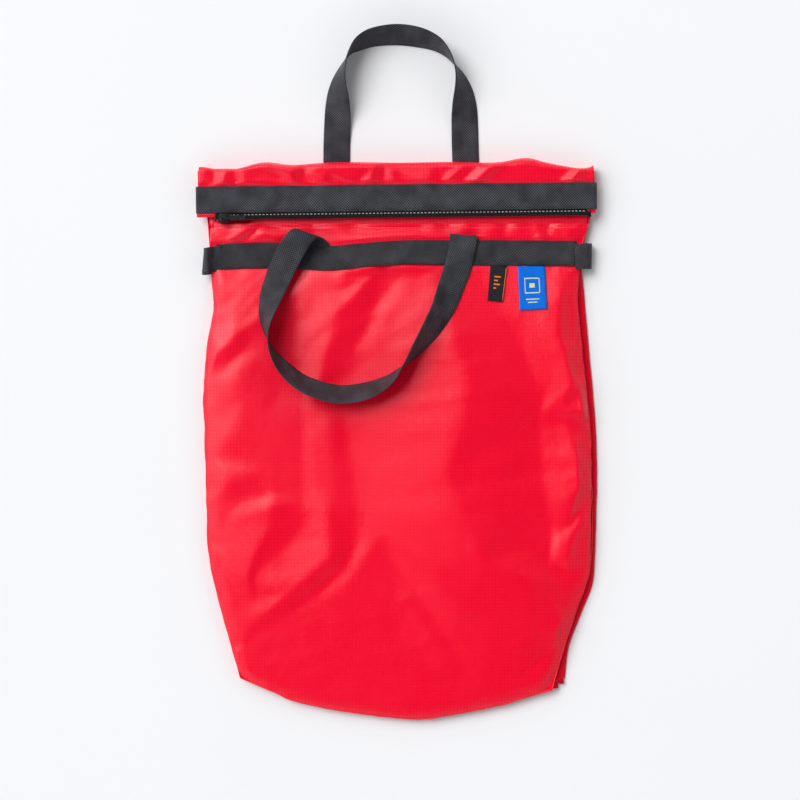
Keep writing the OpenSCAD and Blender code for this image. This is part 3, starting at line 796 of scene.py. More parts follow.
def settle(obj, pinned, shape):
    """Lets the fabric settle. It is held at its seams and is a little longer than its span, so
    that it wrinkles between them over the layers inside."""
    group = obj.vertex_groups.new(name="pinned")
    group.add([int(i) for i in np.flatnonzero(pinned)], 1.0, "REPLACE")
    places = np.zeros(len(obj.data.vertices) * 3)
    obj.data.vertices.foreach_get("co", places)
    under = places.reshape(*shape, 3)[::2, ::2] * 1000 - [0, 0, LAYER_GAP]
    inner = make_mesh("inner_layer", under.reshape(-1, 3), grid_faces(*under.shape[:2]), RED)
    inner.modifiers.new("hit", "COLLISION")
    inner.collision.thickness_outer = 0.0004
    inner.collision.cloth_friction = 2
    cloth = obj.modifiers.new("settle", "CLOTH")
    s = cloth.settings
    s.quality, s.mass = 7, 0.00002
    s.tension_stiffness = s.compression_stiffness = 24
    s.shear_stiffness, s.bending_stiffness = 10, 3.0
    s.tension_damping = s.compression_damping = s.shear_damping = 6
    s.bending_damping = 0.6
    s.air_damping = 3
    s.shrink_min = SLACK
    s.vertex_group_mass = "pinned"
    s.effector_weights.gravity = 0.2
    cloth.collision_settings.distance_min = 0.0004
    cloth.collision_settings.use_self_collision = False
    cloth.point_cache.frame_start, cloth.point_cache.frame_end = 1, SETTLE_FRAMES
    for step in range(1, SETTLE_FRAMES + 1):
        scene.frame_set(step)
    graph = bpy.context.evaluated_depsgraph_get()
    done = bpy.data.meshes.new_from_object(obj.evaluated_get(graph))
    settled = np.zeros_like(places)
    done.vertices.foreach_get("co", settled)
    obj.modifiers.remove(cloth)
    bpy.data.objects.remove(inner)
    bpy.data.meshes.remove(done)
    obj.vertex_groups.clear()
    obj.data.vertices.foreach_set("co", places + (settled - places) * GIVE)
    scene.frame_set(1)


def make_front():
    """The front panel, its edges on the seams' rim."""
    cols, rows = 122, 150
    xy = panel_grid(BOTTOM_EDGE, LEFT_EDGE, RIGHT_EDGE, NECK_Y, cols, rows)
    x, y = xy[..., 0], xy[..., 1]
    z = front_z(x, y)
    z[:-1, 0] = z[:-1, -1] = z[0] = RIM_Z + 0.8
    obj = sheet_mesh("front_fabric", xyz(x, y, z), RED, xy)
    held = (np.abs(band_plane(x, y)[1]) < WEB_W / 2 + 2) | (y > 143)
    held[0] = held[-1] = held[:, 0] = held[:, -1] = True
    settle(obj, held.ravel(), (rows, cols))
    return obj


front = make_front()
FRONT_TREE = BVHTree.FromObject(front, bpy.context.evaluated_depsgraph_get())


def over_front(x, y, beside=8.5):
    """Height of the settled front fabric at a place, or the height given for places beside it."""
    hit = FRONT_TREE.ray_cast(Vector((x / 1000, y / 1000, 0.2)), Vector((0, 0, -1)))[0]
    return hit.z * 1000 if hit else beside


def surface(xs, ys):
    """over_front at each of many places."""
    return np.array([over_front(x, y) for x, y in zip(np.ravel(xs), np.ravel(ys))]).reshape(
        np.shape(xs))


finish_piece(front, "red_ripstop", ["front_panel"], thick=NYLON_T, joint=FRONT_LIFTS)

# Y of the top fold's edge at each X, a little wavy, and its usual Y
FOLD_EDGE = [(-196, 202.2), (-191, 202.6), (-178, 200.6), (-161, 200.2), (-129, 207.2),
             (-104, 204.6), (-70, 206.8), (-45, 207.4), (0, 206.8), (50, 207.6), (101, 207.4),
             (130, 211.2), (146, 207.2), (166, 203.2), (180, 201.4), (190, 202.6), (196, 206.0)]
FOLD_Y = 206.0
# The back's flat Y is 0 at this distance run from its bottom edge
BACK_FLAT_START = 335


def by_run(places, start=0.0):
    """Places on the flat cloth: X as it lies, and the distance run up the middle column."""
    run = lengths_along(places[:, places.shape[1] // 2]) - start
    return xyz(places[..., 0], run[:, None])


def make_back():
    """The back panel, the top fold and the collar's outer side are one sheet."""
    s = crowded(190, 0.7)
    base = pick(spline(BACK_BOTTOM_EDGE, 300), s)
    rows = []
    for t in np.linspace(0, 1, 96):
        y = base[:, 1] + (197.0 - base[:, 1]) * t
        left, right = ease(y, BACK_LEFT_EDGE), ease(y, BACK_RIGHT_EDGE)
        z = 0.6 + 1.25 * np.clip((y - 88) / 9, 0, 1)
        rows.append(xyz(left + (right - left) * s, y, z))
    (turn_y, turn_z), r = (200.05, 7.55), 5.6
    ends = COLLAR_LO[0] + 0.3, COLLAR_HI[0] - 0.3
    x = ends[0] + (ends[1] - ends[0]) * s
    push = ease(x, FOLD_EDGE) - FOLD_Y
    for a in np.radians(np.linspace(-80, 84, 15)):
        share = 0.5 + 0.5 * math.cos(a)
        y = turn_y + r * math.cos(a) + push * share
        lift = COLLAR_RELIEF.at(x, y) * max(math.sin(a), 0) ** 2
        rows.append(xyz(x, y, turn_z + r * math.sin(a) + lift))
    for y0 in (*np.linspace(199.5, 183.5, 14), 181, 176, 170, 164, 160.5):
        ax, ay = askew(x, y0)
        share = np.clip((y0 - 184) / 15, 0, 1)
        y = ay * (1 - share) + y0 * share + push * 0.5 * share
        lift = COLLAR_RELIEF.at(x, y) * min(max((y0 - 182) / 4, 0), 1)
        rows.append(xyz(ax * (1 - share) + x * share, y, 13.15 + lift))
    places = np.stack(rows)
    obj = sheet_mesh("back_fabric", places, RED, by_run(places, BACK_FLAT_START))
    return finish_piece(obj, "red_ripstop", ["back_panel", "top_fold", "collar_back"],
                        thick=NYLON_T, joint=("bag", "collar", (0, 0.2, 0.0032), (0, 0.2, 0.0124)))


def make_neck():
    """The yoke, its turn at the top and the collar's inner side, under the mouth's webbing."""
    s = np.linspace(0, 1, 100)
    rows = []

    def add(left, right, y, z, turned=False):
        x = left + (right - left) * s
        rows.append(xyz(*(askew(x, y) if turned else (x, y)), z))
        return x

    for y in np.linspace(143, 196, 16):
        x = add(ease(y, LEFT_EDGE) + 0.6, ease(min(y, NECK_Y), RIGHT_EDGE) - 0.6, y, 7.5)
        rows[-1][:, 2] += 0.25 * ripple(x, y, 14, 41)
    for a in np.radians(np.linspace(-90, 90, 9)):
        add(COLLAR_LO[0] + 2, COLLAR_HI[0] - 2, 199 + 1.3 * math.cos(a), 8.85 + 1.3 * math.sin(a))
    for y in np.linspace(196, 160, 9):
        add(COLLAR_LO[0] + 1, COLLAR_HI[0] - 1, y, 10.15, turned=True)
    places = np.stack(rows)
    obj = sheet_mesh("neck_fabric", places, RED, by_run(places))
    return finish_piece(obj, "red_ripstop", ["front_yoke", "collar_front"], thick=NYLON_T,
                        joint=("bag", "collar", (0, 0.2, 0.008), (0, 0.2, 0.0098)))


def by_width(places):
    """The distance run along each row of a sheet."""
    steps = np.linalg.norm(np.diff(places, axis=1), axis=2)
    return np.concatenate([np.zeros((len(places), 1)), np.cumsum(steps, axis=1)], axis=1)


# Height of the back's and the front's side of the gussets and the base, at their seams
TUCK_LOW, TUCK_HIGH = 0.75, RIM_Z + 0.3
# How far a gusset is tucked in, along the seam
GUSSET_DEPTH = [(-300, 1.5), (-270, 26), (-240, 40), (-180, 46), (-90, 46), (60, 20), (100, 11),
                (200, 8)]
# From this Y up a gusset lies between the two bands, and its seams are at these heights
BANDS_FROM, BANDS_LOW, BANDS_HIGH = 90, 2.2, 7.6


def gusset_rows(side, near, back, ys):
    """The folded gusset: it bulges a little at the seams and its point is tucked between the
    panels. ys run along the back panel; at the bottom corner the front reaches a little lower."""
    rows = []
    for y in ys:
        lower = (back[0][0] - near[0][0]) * min(max((-250 - y) / 48, 0), 1) ** 2
        m = y - lower / 2
        out, rim = float(ease(y, back)), float(ease(y - lower, near))
        depth = float(ease(y, GUSSET_DEPTH))
        low, high = (TUCK_LOW, TUCK_HIGH) if y < BANDS_FROM else (BANDS_LOW, BANDS_HIGH)
        mid = (low + high) / 2
        puff = 0.8 * float(ripple(y, side * 40.0, 13, 51)) + 0.8
        rows.append([(out, y, low), (out - side * (0.2 - puff * 0.3), y, low + 0.7),
                     (out - side * min(2.0, depth * 0.4), y, low + 1.5),
                     (out - side * depth * 0.5, m, mid - 0.45),
                     ((out + rim) / 2 - side * depth, m, mid),
                     (rim - side * depth * 0.5, m, mid + 0.45),
                     (rim - side * min(3.0, depth * 0.4), y - lower, high - 1.3),
                     (rim + side * (0.2 + puff * 0.9), y - lower, high - 0.9),
                     (rim + side * 0.2, y - lower, high)])
    return np.array(rows)


def make_gussets():
    """Each side's gusset: the part that the front lifts from, and the part under the collar."""
    made = []
    for word, side, near, back in SIDES:
        corner = (BACK_RIGHT if side > 0 else BACK_LEFT)[1]
        for part, start, end, count in (("lower", corner, 137, 72), ("upper", 137, 196, 12)):
            places = gusset_rows(side, near, back, np.linspace(start, end, count))[::side]
            flat = xyz(by_width(places), places[..., 1])
            obj = sheet_mesh(f"gusset_{word}_{part}", places, SHADED_RED, flat)
            moves = (dict(nodes=[f"gusset_{word}"], joint=GUSSET_STRETCHES) if part == "lower"
                     else dict(body="bag"))
            made.append(finish_piece(obj, "red_ripstop", thick=GUSSET_T, **moves))
    return made


def make_base():
    """The base, folded inwards between the panels' bottom edges."""
    rows = []
    for s in np.linspace(0, 1, 64):
        far = BACK_LEFT[0] + s * (BACK_RIGHT[0] - BACK_LEFT[0])
        x = BASE_LEFT[0] + s * (BASE_RIGHT[0] - BASE_LEFT[0])
        m = (far + x) / 2
        out, rim = float(ease(far, BACK_BOTTOM_EDGE)), float(ease(x, BOTTOM_EDGE))
        depth = min(42.0, 1.5 + min(s, 1 - s) * 300)
        low, high = TUCK_LOW, TUCK_HIGH
        mid = (low + high) / 2
        puff = 0.8 * float(ripple(x, 7.0, 15, 52)) + 0.6
        rows.append([(far, out, low), (far, out + 0.4, low + 0.8),
                     (far, out + min(2.5, depth * 0.4), low + 1.5),
                     (m, out + depth * 0.5, mid - 0.4), (m, (out + rim) / 2 + depth, mid),
                     (m, rim + depth * 0.5, mid + 0.4),
                     (x, rim + min(3.0, depth * 0.4), high - 1.2),
                     (x, rim - 0.3 - puff * 0.5, high - 0.9), (x, rim, high)])
    places = np.array(rows)
    obj = sheet_mesh("base_fabric", places, SHADED_RED, xyz(places[..., 0], by_width(places)))
    return finish_piece(obj, "red_ripstop", ["base_panel"], thick=GUSSET_T, joint=GUSSET_STRETCHES)


back = make_back()
neck = make_neck()
gussets = make_gussets()
base = make_base()


def make_seams():
    """The seam allowance rolled over the front panel's edge, a thin ridge all the way round."""
    for word, edge, count, seed, moves in (
            ("left", LEFT_EDGE, 220, 61, dict(joint=FRONT_LIFTS)),
            ("right", RIGHT_EDGE, 220, 61, dict(joint=FRONT_LIFTS)),
            ("base", BOTTOM_EDGE, 180, 63, dict(body="front"))):
        line = spline(edge, count)
        place = line[:, 0]
        xy = line if word == "base" else line[:, ::-1]
        path = np.column_stack([xy, RIM_Z + 0.9 + 0.25 * ripple(place, 3, 6, seed)])
        thin = np.clip(0.75 + 0.25 * ripple(place, 0, 9, seed + 1), 0.4, 1)
        finish_piece(tube_mesh(f"seam_{word}", path, RED, thin), "red_ripstop", **moves)


make_seams()


def make_bindings():
    """Tape bound over the seam allowances inside the bag."""
    ys = np.linspace(-280, 88, 90)
    for word, side, near, far in SIDES:
        for kind, edge, body in (("front", near, "front"), ("seam", far, "bag")):
            xs = ease(ys, edge) - side * 10
            low = np.min([surface(xs + dx, ys + dy) for dx in (-4, 0, 4) for dy in (-4, 0, 4)], 0)
            path = xyz(xs, ys, low - 1.4 if kind == "front" else 1.0)
            obj = strap_mesh(f"{kind}_tape_{word}", path, [1.0, 0, 0], BINDING, 8.0, 0.5)
            finish_piece(obj, "binding_tape", [f"{kind}_binding_{word}"], body=body)


make_bindings()


# ---------------------------------------------------------------- webbing

# A row of stitches is this far inside the webbing's edge, and this far sunk in its face
STITCH_INSET, STITCH_SINK = 1.8, 0.02


def webbing_stitches(name, rows, body):
    """Black thread along webbing."""
    finish_piece(stitch_mesh(name, rows, THREAD), "black_webbing", body=body)


def make_front_band():
    """The band across the front."""
    xs = np.linspace(BAND_LO[0] + 1.0, BAND_HI[0] - 1.0, 150)
    low, high = ease(xs, BAND_LOWER_Z), ease(xs, BAND_UPPER_Z)
    z = ((low + high) / 2 + WEB_T / 2 + 0.25 + 0.5 * ripple(xs, 0, 17, 71)
         + 0.2 * ripple(xs, 7, 8, 72))
    centres = xyz(xs, ease(xs, BAND_CENTRE), z)
    tilt = np.arcsin(np.clip((high - low) / WEB_W, -0.8, 0.8))
    across = xyz(0, np.cos(tilt), np.sin(tilt))
    obj = strap_mesh("front_webbing", centres, across, WEB_BAND)
    finish_piece(obj, "black_webbing", ["front_band"], body="front")
    up = unit(np.cross(np.gradient(centres, axis=0), across))
    top = up * (WEB_T / 2 - STITCH_SINK)
    webbing_stitches("front_webbing_stitches", [
        with_up(centres + across * s * (WEB_W / 2 - STITCH_INSET) + top, up) for s in (-1, 1)
    ], "front")


def make_back_band():
    """The band across the back, under the bag."""
    lo, hi = node_box("back_band")
    xs = np.linspace(lo[0] + 0.5, hi[0] - 0.5, 60)
    centres = xyz(xs, (lo[1] + hi[1]) / 2, WEB_T / 2 + 0.1)
    obj = strap_mesh("back_webbing", centres, [0, 1.0, 0], WEB_BAND)
    finish_piece(obj, "black_webbing", ["back_band"], body="bag")
    webbing_stitches("back_webbing_stitches", [
        with_up(centres + [0, s * (WEB_W / 2 - STITCH_INSET), -WEB_T / 2 + STITCH_SINK],
                (0, 0, -1.0)) for s in (-1, 1)], "bag")


def make_mouth():
    """The mouth's binding: a loop of webbing round the collar's free edge, pressed flat."""
    end, r = MOUTH_HI[0] - 3.25, 2.55
    zc, yc = (MOUTH_LO[2] + MOUTH_HI[2]) / 2, MOUTH_Y + WEB_W / 2
    a = np.radians(np.linspace(-90, 90, 13))[1:-1]
    xs = np.linspace(-end, end, 150)[::-1]
    wave = 0.75 * ripple(xs, 0, 19, 84) + 0.3 * ripple(xs, 9, 9, 82)
    wave = wave * np.clip((end - np.abs(xs)) / 20, 0, 1)
    path = np.vstack([
        xyz(np.linspace(0, end, 40), zc - r), xyz(end + r * np.cos(a), zc + r * np.sin(a)),
        xyz(xs, zc + r + wave), xyz(-end - r * np.cos(a), zc - r * np.sin(a)),
        xyz(np.linspace(-end, -0.2, 40), zc - r)])
    centres = xyz(*askew(path[:, 0], yc), path[:, 1])
    lean = np.array([-math.sin(ASKEW), math.cos(ASKEW), 0])
    obj = strap_mesh("mouth_binding", centres, lean, WEB, STRAP_W)
    finish_piece(obj, "black_webbing", ["mouth_webbing"], body="collar")
    first = 40 + len(a)
    top = centres[first + 3:first + 147] + [0, 0, WEB_T / 2 - STITCH_SINK]
    webbing_stitches("mouth_binding_stitches", [
        with_up(top + lean * s * (WEB_W / 2 - 1.6)) for s in (-1, 1)], "collar")


def leaning(route, hand):
    """Centre line in X and Y, and the direction to the webbing's upper edge. route gives X, Y
    and the tilt in degrees; hand is the side of the path that the upper edge leans to."""
    p = spline(route, 170)
    t = unit(np.gradient(p[:, :2], axis=0))
    tilt = np.radians(np.maximum(p[:, 2], 0))
    level = np.cos(tilt) * hand
    return p[:, :2], xyz(-t[:, 1] * level, t[:, 0] * level, np.sin(tilt))


def resting(xy, across, under, gap=0.3):
    """Height of the centre so that no place of the leaning webbing is below what it lies on."""
    best = np.full(len(xy), -1e9)
    for share in np.linspace(-0.5, 0.5, 9):
        spot = xy + across[:, :2] * share * WEB_W
        z = under(spot[:, 0], spot[:, 1]) - across[:, 2] * share * WEB_W
        best = np.maximum(best, z)
    return best + gap + WEB_T / 2


# The left root's curl, as its left and right edge
CURL = [((-90, 122, 9.0), (-65, 121, 9.0)), ((-90.3, 127.5, 9.8), (-65.2, 123.5, 10.0)),
        ((-93, 134.5, 12), (-66.6, 127.8, 12.8)), ((-97, 140.2, 15.6), (-70.2, 131.2, 16.6)),
        ((-99.8, 141.2, 19.4), (-75, 132, 20)), ((-103, 138.6, 22.2), (-79.8, 130.4, 22.2)),
        ((-107.6, 133.6, 23.2), (-84, 126.4, 23.4))]
# The hand loops: X, Y and how many degrees the webbing is tilted from lying flat
FRONT_ROUTE = [(-102.7, 119.6, 0), (-109.2, 107, 5), (-115.2, 94, 13), (-120.4, 80, 26),
               (-124.6, 64, 44), (-127, 48, 66), (-125, 33, 86), (-119.5, 19, 102),
               (-110, 6, 118), (-94, -8, 127), (-73, -17, 132), (-52, -20.5, 133),
               (-29, -17, 129), (-9, -8, 113), (4, 4, 95), (16, 18, 72), (29, 36, 52),
               (44, 61, 33), (54, 87, 14), (61, 108, 4), (64.5, 124, 0)]
REAR_ROUTE = [(-59, 209, 0), (-58.8, 226, 0), (-58, 248, 7), (-57.5, 268.5, 30), (-56, 288.5, 60),
              (-51, 304.5, 80), (-45, 315.5, 92), (-36, 323.5, 112), (-22, 329.5, 123),
              (0, 332, 130), (21, 329.5, 127), (38, 323.5, 114), (49, 314.5, 99), (56, 304.5, 86),
              (61.5, 293.5, 70), (65, 279.5, 48), (66.5, 263.5, 24), (67, 247.5, 7),
              (67.5, 226, 0), (68, 209, 0)]
# The right root: it turns down over the band's upper edge and goes in behind the band. Its
# first places are this far above the loop's end
RIGHT_TURN = [(65.5, 128.6, 0.3), (65.6, 132.2, 0.4)]
RIGHT_ROOT = [(65.5, 135.0, 12.6), (65.4, 135.6, 11.4), (65.3, 134.2, 10.2), (65.2, 131.0, 9.6),
              (65.2, 126, 9.4), (65.2, 121, 9.3)]
# Where the curl hands over, the loop is this high and comes down over this run
CURL_TOP, CURL_RUN = 21.5, 34


def under_strap(xs, ys):
    """Height of what the front hand loop lies on: the fabric, and the band over it."""
    z = surface(xs, ys)
    plane, off = band_plane(xs, ys)
    return np.where(np.abs(off) < WEB_W / 2 + 1, np.maximum(z, plane + WEB_T + 0.3), z)


def make_front_strap():
    """The front handle: sewn under the band, curled over at its left root, on edge in the
    middle."""
    xy, across = leaning(FRONT_ROUTE, 1)
    z = resting(xy, across, under_strap)
    z = np.maximum(smooth_run(z, 4), z - 0.4)
    z = np.maximum(z, z[0] + (CURL_TOP - z[0]) * np.exp(-((lengths_along(xy) / CURL_RUN) ** 2)))
    body = np.column_stack([xy, z])
    half = np.array([*across[0][:2] * STRAP_W / 2, 0])
    edges = spline([(*a, *b) for a, b in CURL] + [(*(body[0] - half), *(body[0] + half))], 44)[:-1]
    start = (edges[:, :3] + edges[:, 3:]) / 2
    start_across = unit(edges[:, 3:] - edges[:, :3])
    end = spline([tuple(body[-1])] + [(x, y, body[-1][2] + h) for x, y, h in RIGHT_TURN]
                 + RIGHT_ROOT, 26)[1:]
    turn = np.linspace(0, 1, len(end))[:, None] ** 0.6
    end_across = (1 - turn) * across[-1] + turn * np.array([-1.0, 0, 0])
    centres = np.vstack([start, body, end])
    centres = np.column_stack([smooth_run(centres[:, k], 1) for k in range(3)])
    square = smooth_run(np.arange(len(centres)) > len(start), 6)
    obj = strap_mesh("front_strap", centres, np.vstack([start_across, across, end_across]), WEB,
                     STRAP_W, square=square)
    finish_piece(obj, "black_webbing", ["front_handle", "front_handle_ends"],
                 joint=("front", "front_loop", (0, 0.128, 0), (0, 0.085, 0)))


def make_rear_strap():
    """The rear handle: sewn on the back, it comes out above the top fold and lies on its edge."""
    xy, across = leaning(REAR_ROUTE, -1)
    body = np.column_stack([xy, resting(xy, across, lambda xs, ys: 0 * xs, 0.15)])
    ys = np.linspace(BAND_HI[1] + 0.5, 207, 24)
    start, end = xyz(-59.0, ys, WEB_T / 2 + 0.15), xyz(68.0, ys[::-1], WEB_T / 2 + 0.15)
    across = np.vstack([np.tile(across[0], (24, 1)), across, np.tile(across[-1], (24, 1))])
    obj = strap_mesh("rear_strap", np.vstack([start, body, end]), across, WEB, STRAP_W)
    finish_piece(obj, "black_webbing", ["rear_handle", "rear_handle_ends"],
                 joint=("bag", "rear_loop", (0, 0.205, 0), (0, 0.212, 0)))


# The side loops' paths, and which way their webbing lies at the start and at the end
SIDE_LOOPS = {
    "left": ([(-172, 112.5, 8.7), (-178.5, 112, 9.7), (-182, 111.2, 12.0), (-185.6, 110.2, 14.4),
              (-188.4, 109.6, 12.6), (-189.2, 109.2, 8.4), (-186.5, 109.4, 5.0), (-180, 110, 3.8)],
             (0.10, 1.0, 0.10), (0.06, 1.0, -0.20)),
    "right": ([(174.8, 114.4, 11.3), (181, 114.6, 13.0), (187.2, 114.8, 12.4), (190.8, 115, 9.0),
               (189.8, 115.2, 5.2), (185, 115.4, 3.8), (180.5, 115.6, 3.6)],
              (0.04, 1.0, 0.03), (0.0, 1.0, 0.0)),
}


def make_side_loops():
    """Small webbing loops at the band's ends. The left one stands up more than the right one."""
    share = np.linspace(0, 1, 40)[:, None]
    for word, (path, a, b) in SIDE_LOOPS.items():
        across = np.array(a) * (1 - share) + np.array(b) * share
        obj = strap_mesh(f"side_webbing_{word}", spline(path, 40), across, WEB)
        finish_piece(obj, "black_webbing", [f"side_loop_{word}"], body="front")


def bar_tacks():
    """Dense zigzag stitching that holds the front hand loop's roots to the band."""
    rows = []
    for x0 in (-77.4, 65.2):
        for dy in (-8, 6):
            xs = np.linspace(x0 - 10, x0 + 10, 12)
            y = float(ease(x0, BAND_CENTRE)) + dy
            z = band_plane(xs, y)[0] + WEB_T + 0.35
            rows.append(with_up(xyz(xs, y, z), (0, -0.1, 1.0)))
    obj = stitch_mesh("bar_tacks", rows, THREAD, pitch=1.1, length=1.6, radius=0.34)
    finish_piece(obj, "black_webbing", body="front")


for make in (make_front_band, make_back_band, make_mouth, make_front_strap, make_rear_strap,
             make_side_loops, bar_tacks):
    make()


# ---------------------------------------------------------------- zip

# The red tabs' reach in X, and the height of the collar's two sides at its ends
TABS = {"left": (-195.5, -176.5), "right": (187.5, 195.0)}
COLLAR_OUTER_Z, COLLAR_INNER_Z = 12.75, 9.95


def make_collar_ends():
    """The collar's folded ends, and the red tabs that show below the mouth's webbing."""
    end, r = COLLAR_HI[0] - 0.4, 1.5
    turn = np.radians(np.linspace(90, -90, 11))
    for word, side, *_ in SIDES:
        rows = []
        for y0 in np.linspace(153.5, 198, 24):
            puff = 0.5 * float(ripple(y0, 5.0, 8, 91))
            section = np.array([
                (end - 6, COLLAR_OUTER_Z),
                *((end + (r + puff * 0.4) * math.cos(w), 11.35 + 1.4 * math.sin(w)) for w in turn),
                (end - 6, COLLAR_INNER_Z)])
            x, y = askew(side * section[:, 0], y0)
            if y0 > 190:
                y = y - (y0 - 190) / 8 * (y - y0)
            rows.append(xyz(x, y, section[:, 1]))
        places = np.array(rows)[::side]
        flat = xyz(np.linspace(0, 16, places.shape[1]), places[..., 1])
        obj = sheet_mesh(f"collar_turn_{word}", places, RED, flat)
        finish_piece(obj, "red_ripstop", [f"collar_end_{word}"], body="collar", thick=NYLON_T)
    for word, (x0, x1) in TABS.items():
        x, y = np.meshgrid(np.linspace(x0, x1, 12), np.linspace(ZIP_Y, 160.0, 7))
        z = 13.2 + 0.25 * ripple(x, y, 5, 92) - 0.9 * np.clip((154 - y) / 2, 0, 1)
        obj = sheet_mesh(f"collar_tab_{word}", xyz(*askew(x, y), z), RED)
        finish_piece(obj, "red_ripstop", body="collar", thick=NYLON_T)


# The zip's ends and its middle line, before the mouth is turned
ZIP_START, ZIP_END, ZIP_Y = -176.0, 187.0, 152.6
# Each tape: Y from the middle line and how far below its usual height, edge to edge
ZIP_TAPES = {"back": ((-0.4, 1.2, 3, 6), (0, 0, 0, 0), 12.6),
             "front": ((-2.2, -2.0, -1.6, -0.2), (1.9, 0.8, 0, 0), 12.5)}
COIL_W, COIL_H, COIL_PITCH = 1.5, 1.7, 1.8


def coil_path(x0, x1, y, slant):
    """The wire of one coil: flattened turns that slant across the tape."""
    turns = (x1 - x0) / COIL_PITCH
    a = np.linspace(0, 2 * np.pi * turns, int(turns * 14))
    x, y = askew(x0 + a / (2 * np.pi) * COIL_PITCH + slant * np.cos(a),
                 y + COIL_W / 2 * np.cos(a))
    return xyz(x, y, COIL_BOTTOM + COIL_H / 2 + COIL_H / 2 * np.sin(a) + 0.15)


def make_zip():
    """The zip's tapes, coils and stitches. Its slider, pull and stops are the CAD's own."""
    for word, (ys, drop, z) in ZIP_TAPES.items():
        x, y = np.meshgrid(np.linspace(ZIP_START - 1, ZIP_END + 1.5, 90), ZIP_Y + np.array(ys))
        z_all = z - np.array(drop, float)[:, None] + 0.12 * ripple(x, y, 12, 95)
        obj = sheet_mesh(f"zip_cloth_{word}", xyz(*askew(x, y), z_all), TAPE, xyz(x, y))
        finish_piece(obj, "zip_tape", [f"zip_tape_{word}"], body="collar", thick=0.5)
    for word, dy, slant in (("back", 0.8, 0.5), ("front", -0.8, -0.5)):
        path = coil_path(ZIP_START + 2, ZIP_END, ZIP_Y + dy, slant)
        finish_piece(tube_mesh(f"zip_wire_{word}", path, COIL, 0.36, 6), "zip_coil",
                     [f"zip_coil_{word}"], body="collar")
    xs = np.linspace(ZIP_START + 1, ZIP_END, 60)
    # The upper row's light grey is a painted glint; the lower row is plain black thread.
    for name, look, dy, z, length, radius in (
            ("zip_stitches", GLINT, 1.9, 13.9, 2.1, 0.52),
            ("zip_stitches_low", THREAD, -1.7, 12.8, 2.2, 0.34)):
        row = with_up(xyz(*askew(xs, ZIP_Y + dy), z))
        obj = stitch_mesh(name, [row], look, pitch=3.6, length=length, radius=radius)
        finish_piece(obj, "zip_tape", body="collar")


make_collar_ends()
make_zip()


def dress_node(name, round_by):
    """A hard part kept from the CAD: its edges are rounded and it gets its finish."""
    obj = frame["nodes"][name]
    obj.data.materials.clear()
    obj.data.materials.append(METAL.material)
    bevel = obj.modifiers.new("rounded", "BEVEL")
    bevel.width, bevel.segments = round_by / 1000, 3
    bevel.limit_method, bevel.angle_limit = "ANGLE", math.radians(35)


dress_node("zip_slider", 0.45)
dress_node("zip_pull", 0.4)
dress_node("zip_top_stops", 0.3)
dress_node("zip_bottom_stop", 0.3)


# ---------------------------------------------------------------- labels

def on_grid(grid, u, v):
    """Places on a sheet at shares of the way over its columns (u) and its rows (v)."""
    across, up = u * (grid.shape[1] - 1), v * (grid.shape[0] - 1)
    i = across.astype(int).clip(0, grid.shape[1] - 2)
    j = up.astype(int).clip(0, grid.shape[0] - 2)
    fu, fv = (across - i)[..., None], (up - j)[..., None]
    return ((grid[j, i] * (1 - fu) + grid[j, i + 1] * fu) * (1 - fv)
            + (grid[j + 1, i] * (1 - fu) + grid[j + 1, i + 1] * fu) * fv)


def make_label(name, corners, look, node, body, lift, marks, mark_look):
    """A woven label sewn under the band. corners are upper left, upper right, lower left and
    lower right. marks are (u0, u1, v0, v1) shares of its width and height."""
    tl, tr, bl, br = (np.array(c, float) for c in corners)
    u, v = np.meshgrid(np.linspace(0, 1, 14), np.linspace(0, 1, 26))
    uu, vv = u[..., None], v[..., None]
    xy = (1 - vv) * ((1 - uu) * tl + uu * tr) + vv * ((1 - uu) * bl + uu * br)
    ground = surface(xy[..., 0], xy[..., 1])
    ground = np.maximum(ground, ground.mean() * 0.4 + ground * 0.6)
    ground = np.array([smooth_run(col, 3) for col in ground.T]).T
    z = ground + 0.6 + lift * v ** 1.3 * (0.45 + 0.55 * u) + 0.5 * np.sin(v * 5.0) * u
    # The sewn edge stays under the band
    z[0] = np.minimum(z[0], 8.9)
    z[1] = np.minimum(z[1], 9.3)
    places = np.dstack([xy, z])[::-1]
    w, h = np.linalg.norm(tr - tl), np.linalg.norm(bl - tl)
    obj = sheet_mesh(name, places, look, xyz(u * w, (1 - v) * h)[::-1])
    joint = ("front", body, (0, 0.104, 0), (0, 0.0985, 0))
    finish_piece(obj, node, [node], joint=joint, thick=0.5)
    for k, (u0, u1, v0, v1) in enumerate(marks):
        us, vs = np.meshgrid(np.linspace(u0, u1, 7), np.linspace(v1, v0, 9))
        spot = on_grid(places, us, 1 - vs)
        spot[..., 2] += 0.14
        mark = sheet_mesh(f"{name}_mark_{k + 1}", spot, mark_look, xyz(us * w, vs * h))
        finish_piece(mark, node, joint=joint, thick=0.12)
    return obj


blue = make_label(
    "blue_tab", [(118.7, 107), (145.1, 107), (120.3, 61.6), (146.8, 63.2)], BLUE, "blue_label",
    "blue_flap", 2.4,
    [(0.22, 0.78, 0.30, 0.325), (0.22, 0.78, 0.62, 0.645), (0.22, 0.25, 0.30, 0.645),
     (0.75, 0.78, 0.30, 0.645), (0.40, 0.60, 0.42, 0.52), (0.25, 0.75, 0.76, 0.785),
     (0.32, 0.68, 0.83, 0.85)], YELLOW)
dark = make_label(
    "dark_tab", [(92.3, 109), (108.5, 107), (89.1, 71.3), (103.8, 70.1)], BLACK, "dark_tag",
    "dark_flap", 2.0,
    [(0.95, 0.99, 0.10, 0.98), (0.30, 0.70, 0.34, 0.38), (0.30, 0.55, 0.44, 0.48),
     (0.30, 0.70, 0.54, 0.58), (0.30, 0.48, 0.64, 0.68)], ORANGE)
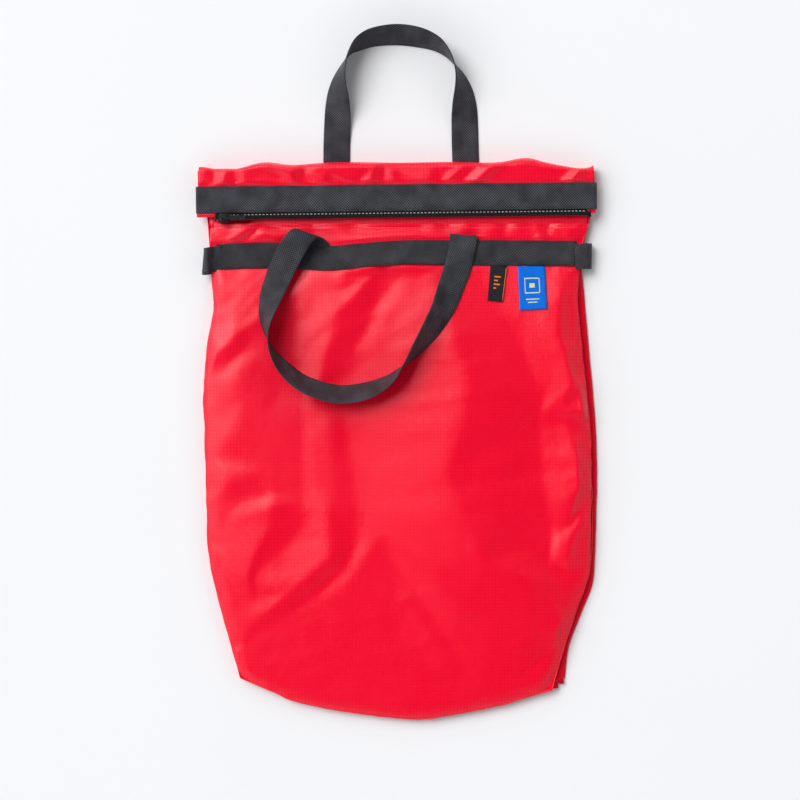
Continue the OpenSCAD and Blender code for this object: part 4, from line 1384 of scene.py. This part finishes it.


# ---------------------------------------------------------------- room, light and camera

scene.view_settings.view_transform = "Standard"
floor_look = plain_look("floor_paper", (0.90, 0.905, 0.92), (0.93, 0.935, 0.95), 0.85, 400, 0.0)
FLOOR_HALF = 4000
floor = make_mesh("floor", [(x * FLOOR_HALF, y * FLOOR_HALF, 0) for x, y in
                            ((-1, -1), (1, -1), (1, 1), (-1, 1))],
                  [(0, 1, 2, 3)], floor_look, smooth=False)


def studio_world(zenith, side, tint):
    """Light from all round: strongest halfway up the left wall, dim overhead and at the floor."""
    world = bpy.data.worlds.new("studio")
    scene.world = world
    world.use_nodes = True
    tree = world.node_tree
    split = tree.nodes.new("ShaderNodeSeparateXYZ")
    tree.links.new(tree.nodes.new("ShaderNodeTexCoord").outputs["Generated"], split.inputs[0])
    height = Field(tree, split.outputs[2]).math("MAXIMUM", 0.0)
    wall = (height * 2.0 + 0.12).math("MINIMUM", (height * -3.2 + 2.52).math("MAXIMUM", 0.0))
    leftward = Field(tree, split.outputs[0]) * -0.4 + 0.97
    strength = wall * leftward * side + zenith
    background = tree.nodes["Background"]
    background.inputs["Color"].default_value = (*tint, 1)
    tree.links.new(strength.socket, background.inputs["Strength"])


def soft_light(name, place, aim, size, power):
    """A square lamp at a place, facing aim."""
    data = bpy.data.lights.new(name, "AREA")
    data.shape, data.size, data.energy = "SQUARE", size, power
    obj = bpy.data.objects.new(name, data)
    obj.location = place
    obj.rotation_euler = (Vector(aim) - Vector(place)).to_track_quat("-Z", "Y").to_euler()
    scene.collection.objects.link(obj)


studio_world(0.02, 1.36, (0.97, 0.98, 1.0))
soft_light("key", (-11.2, 9.0, 16.6), (0, 0, 0), 14.0, 3920)

# The camera looks straight down on the middle of a picture this wide, at the cloth's height
CAMERA_AT = (0.0034, -0.026)
CLOTH_TOP, PICTURE_W = 0.010, 0.784
LENS, SENSOR = 85, 36
camera_data = bpy.data.cameras.new("camera")
camera_data.lens, camera_data.sensor_width = LENS, SENSOR
camera = bpy.data.objects.new("camera", camera_data)
camera.location = (*CAMERA_AT, CLOTH_TOP + PICTURE_W * LENS / SENSOR)
scene.collection.objects.link(camera)
scene.camera = camera
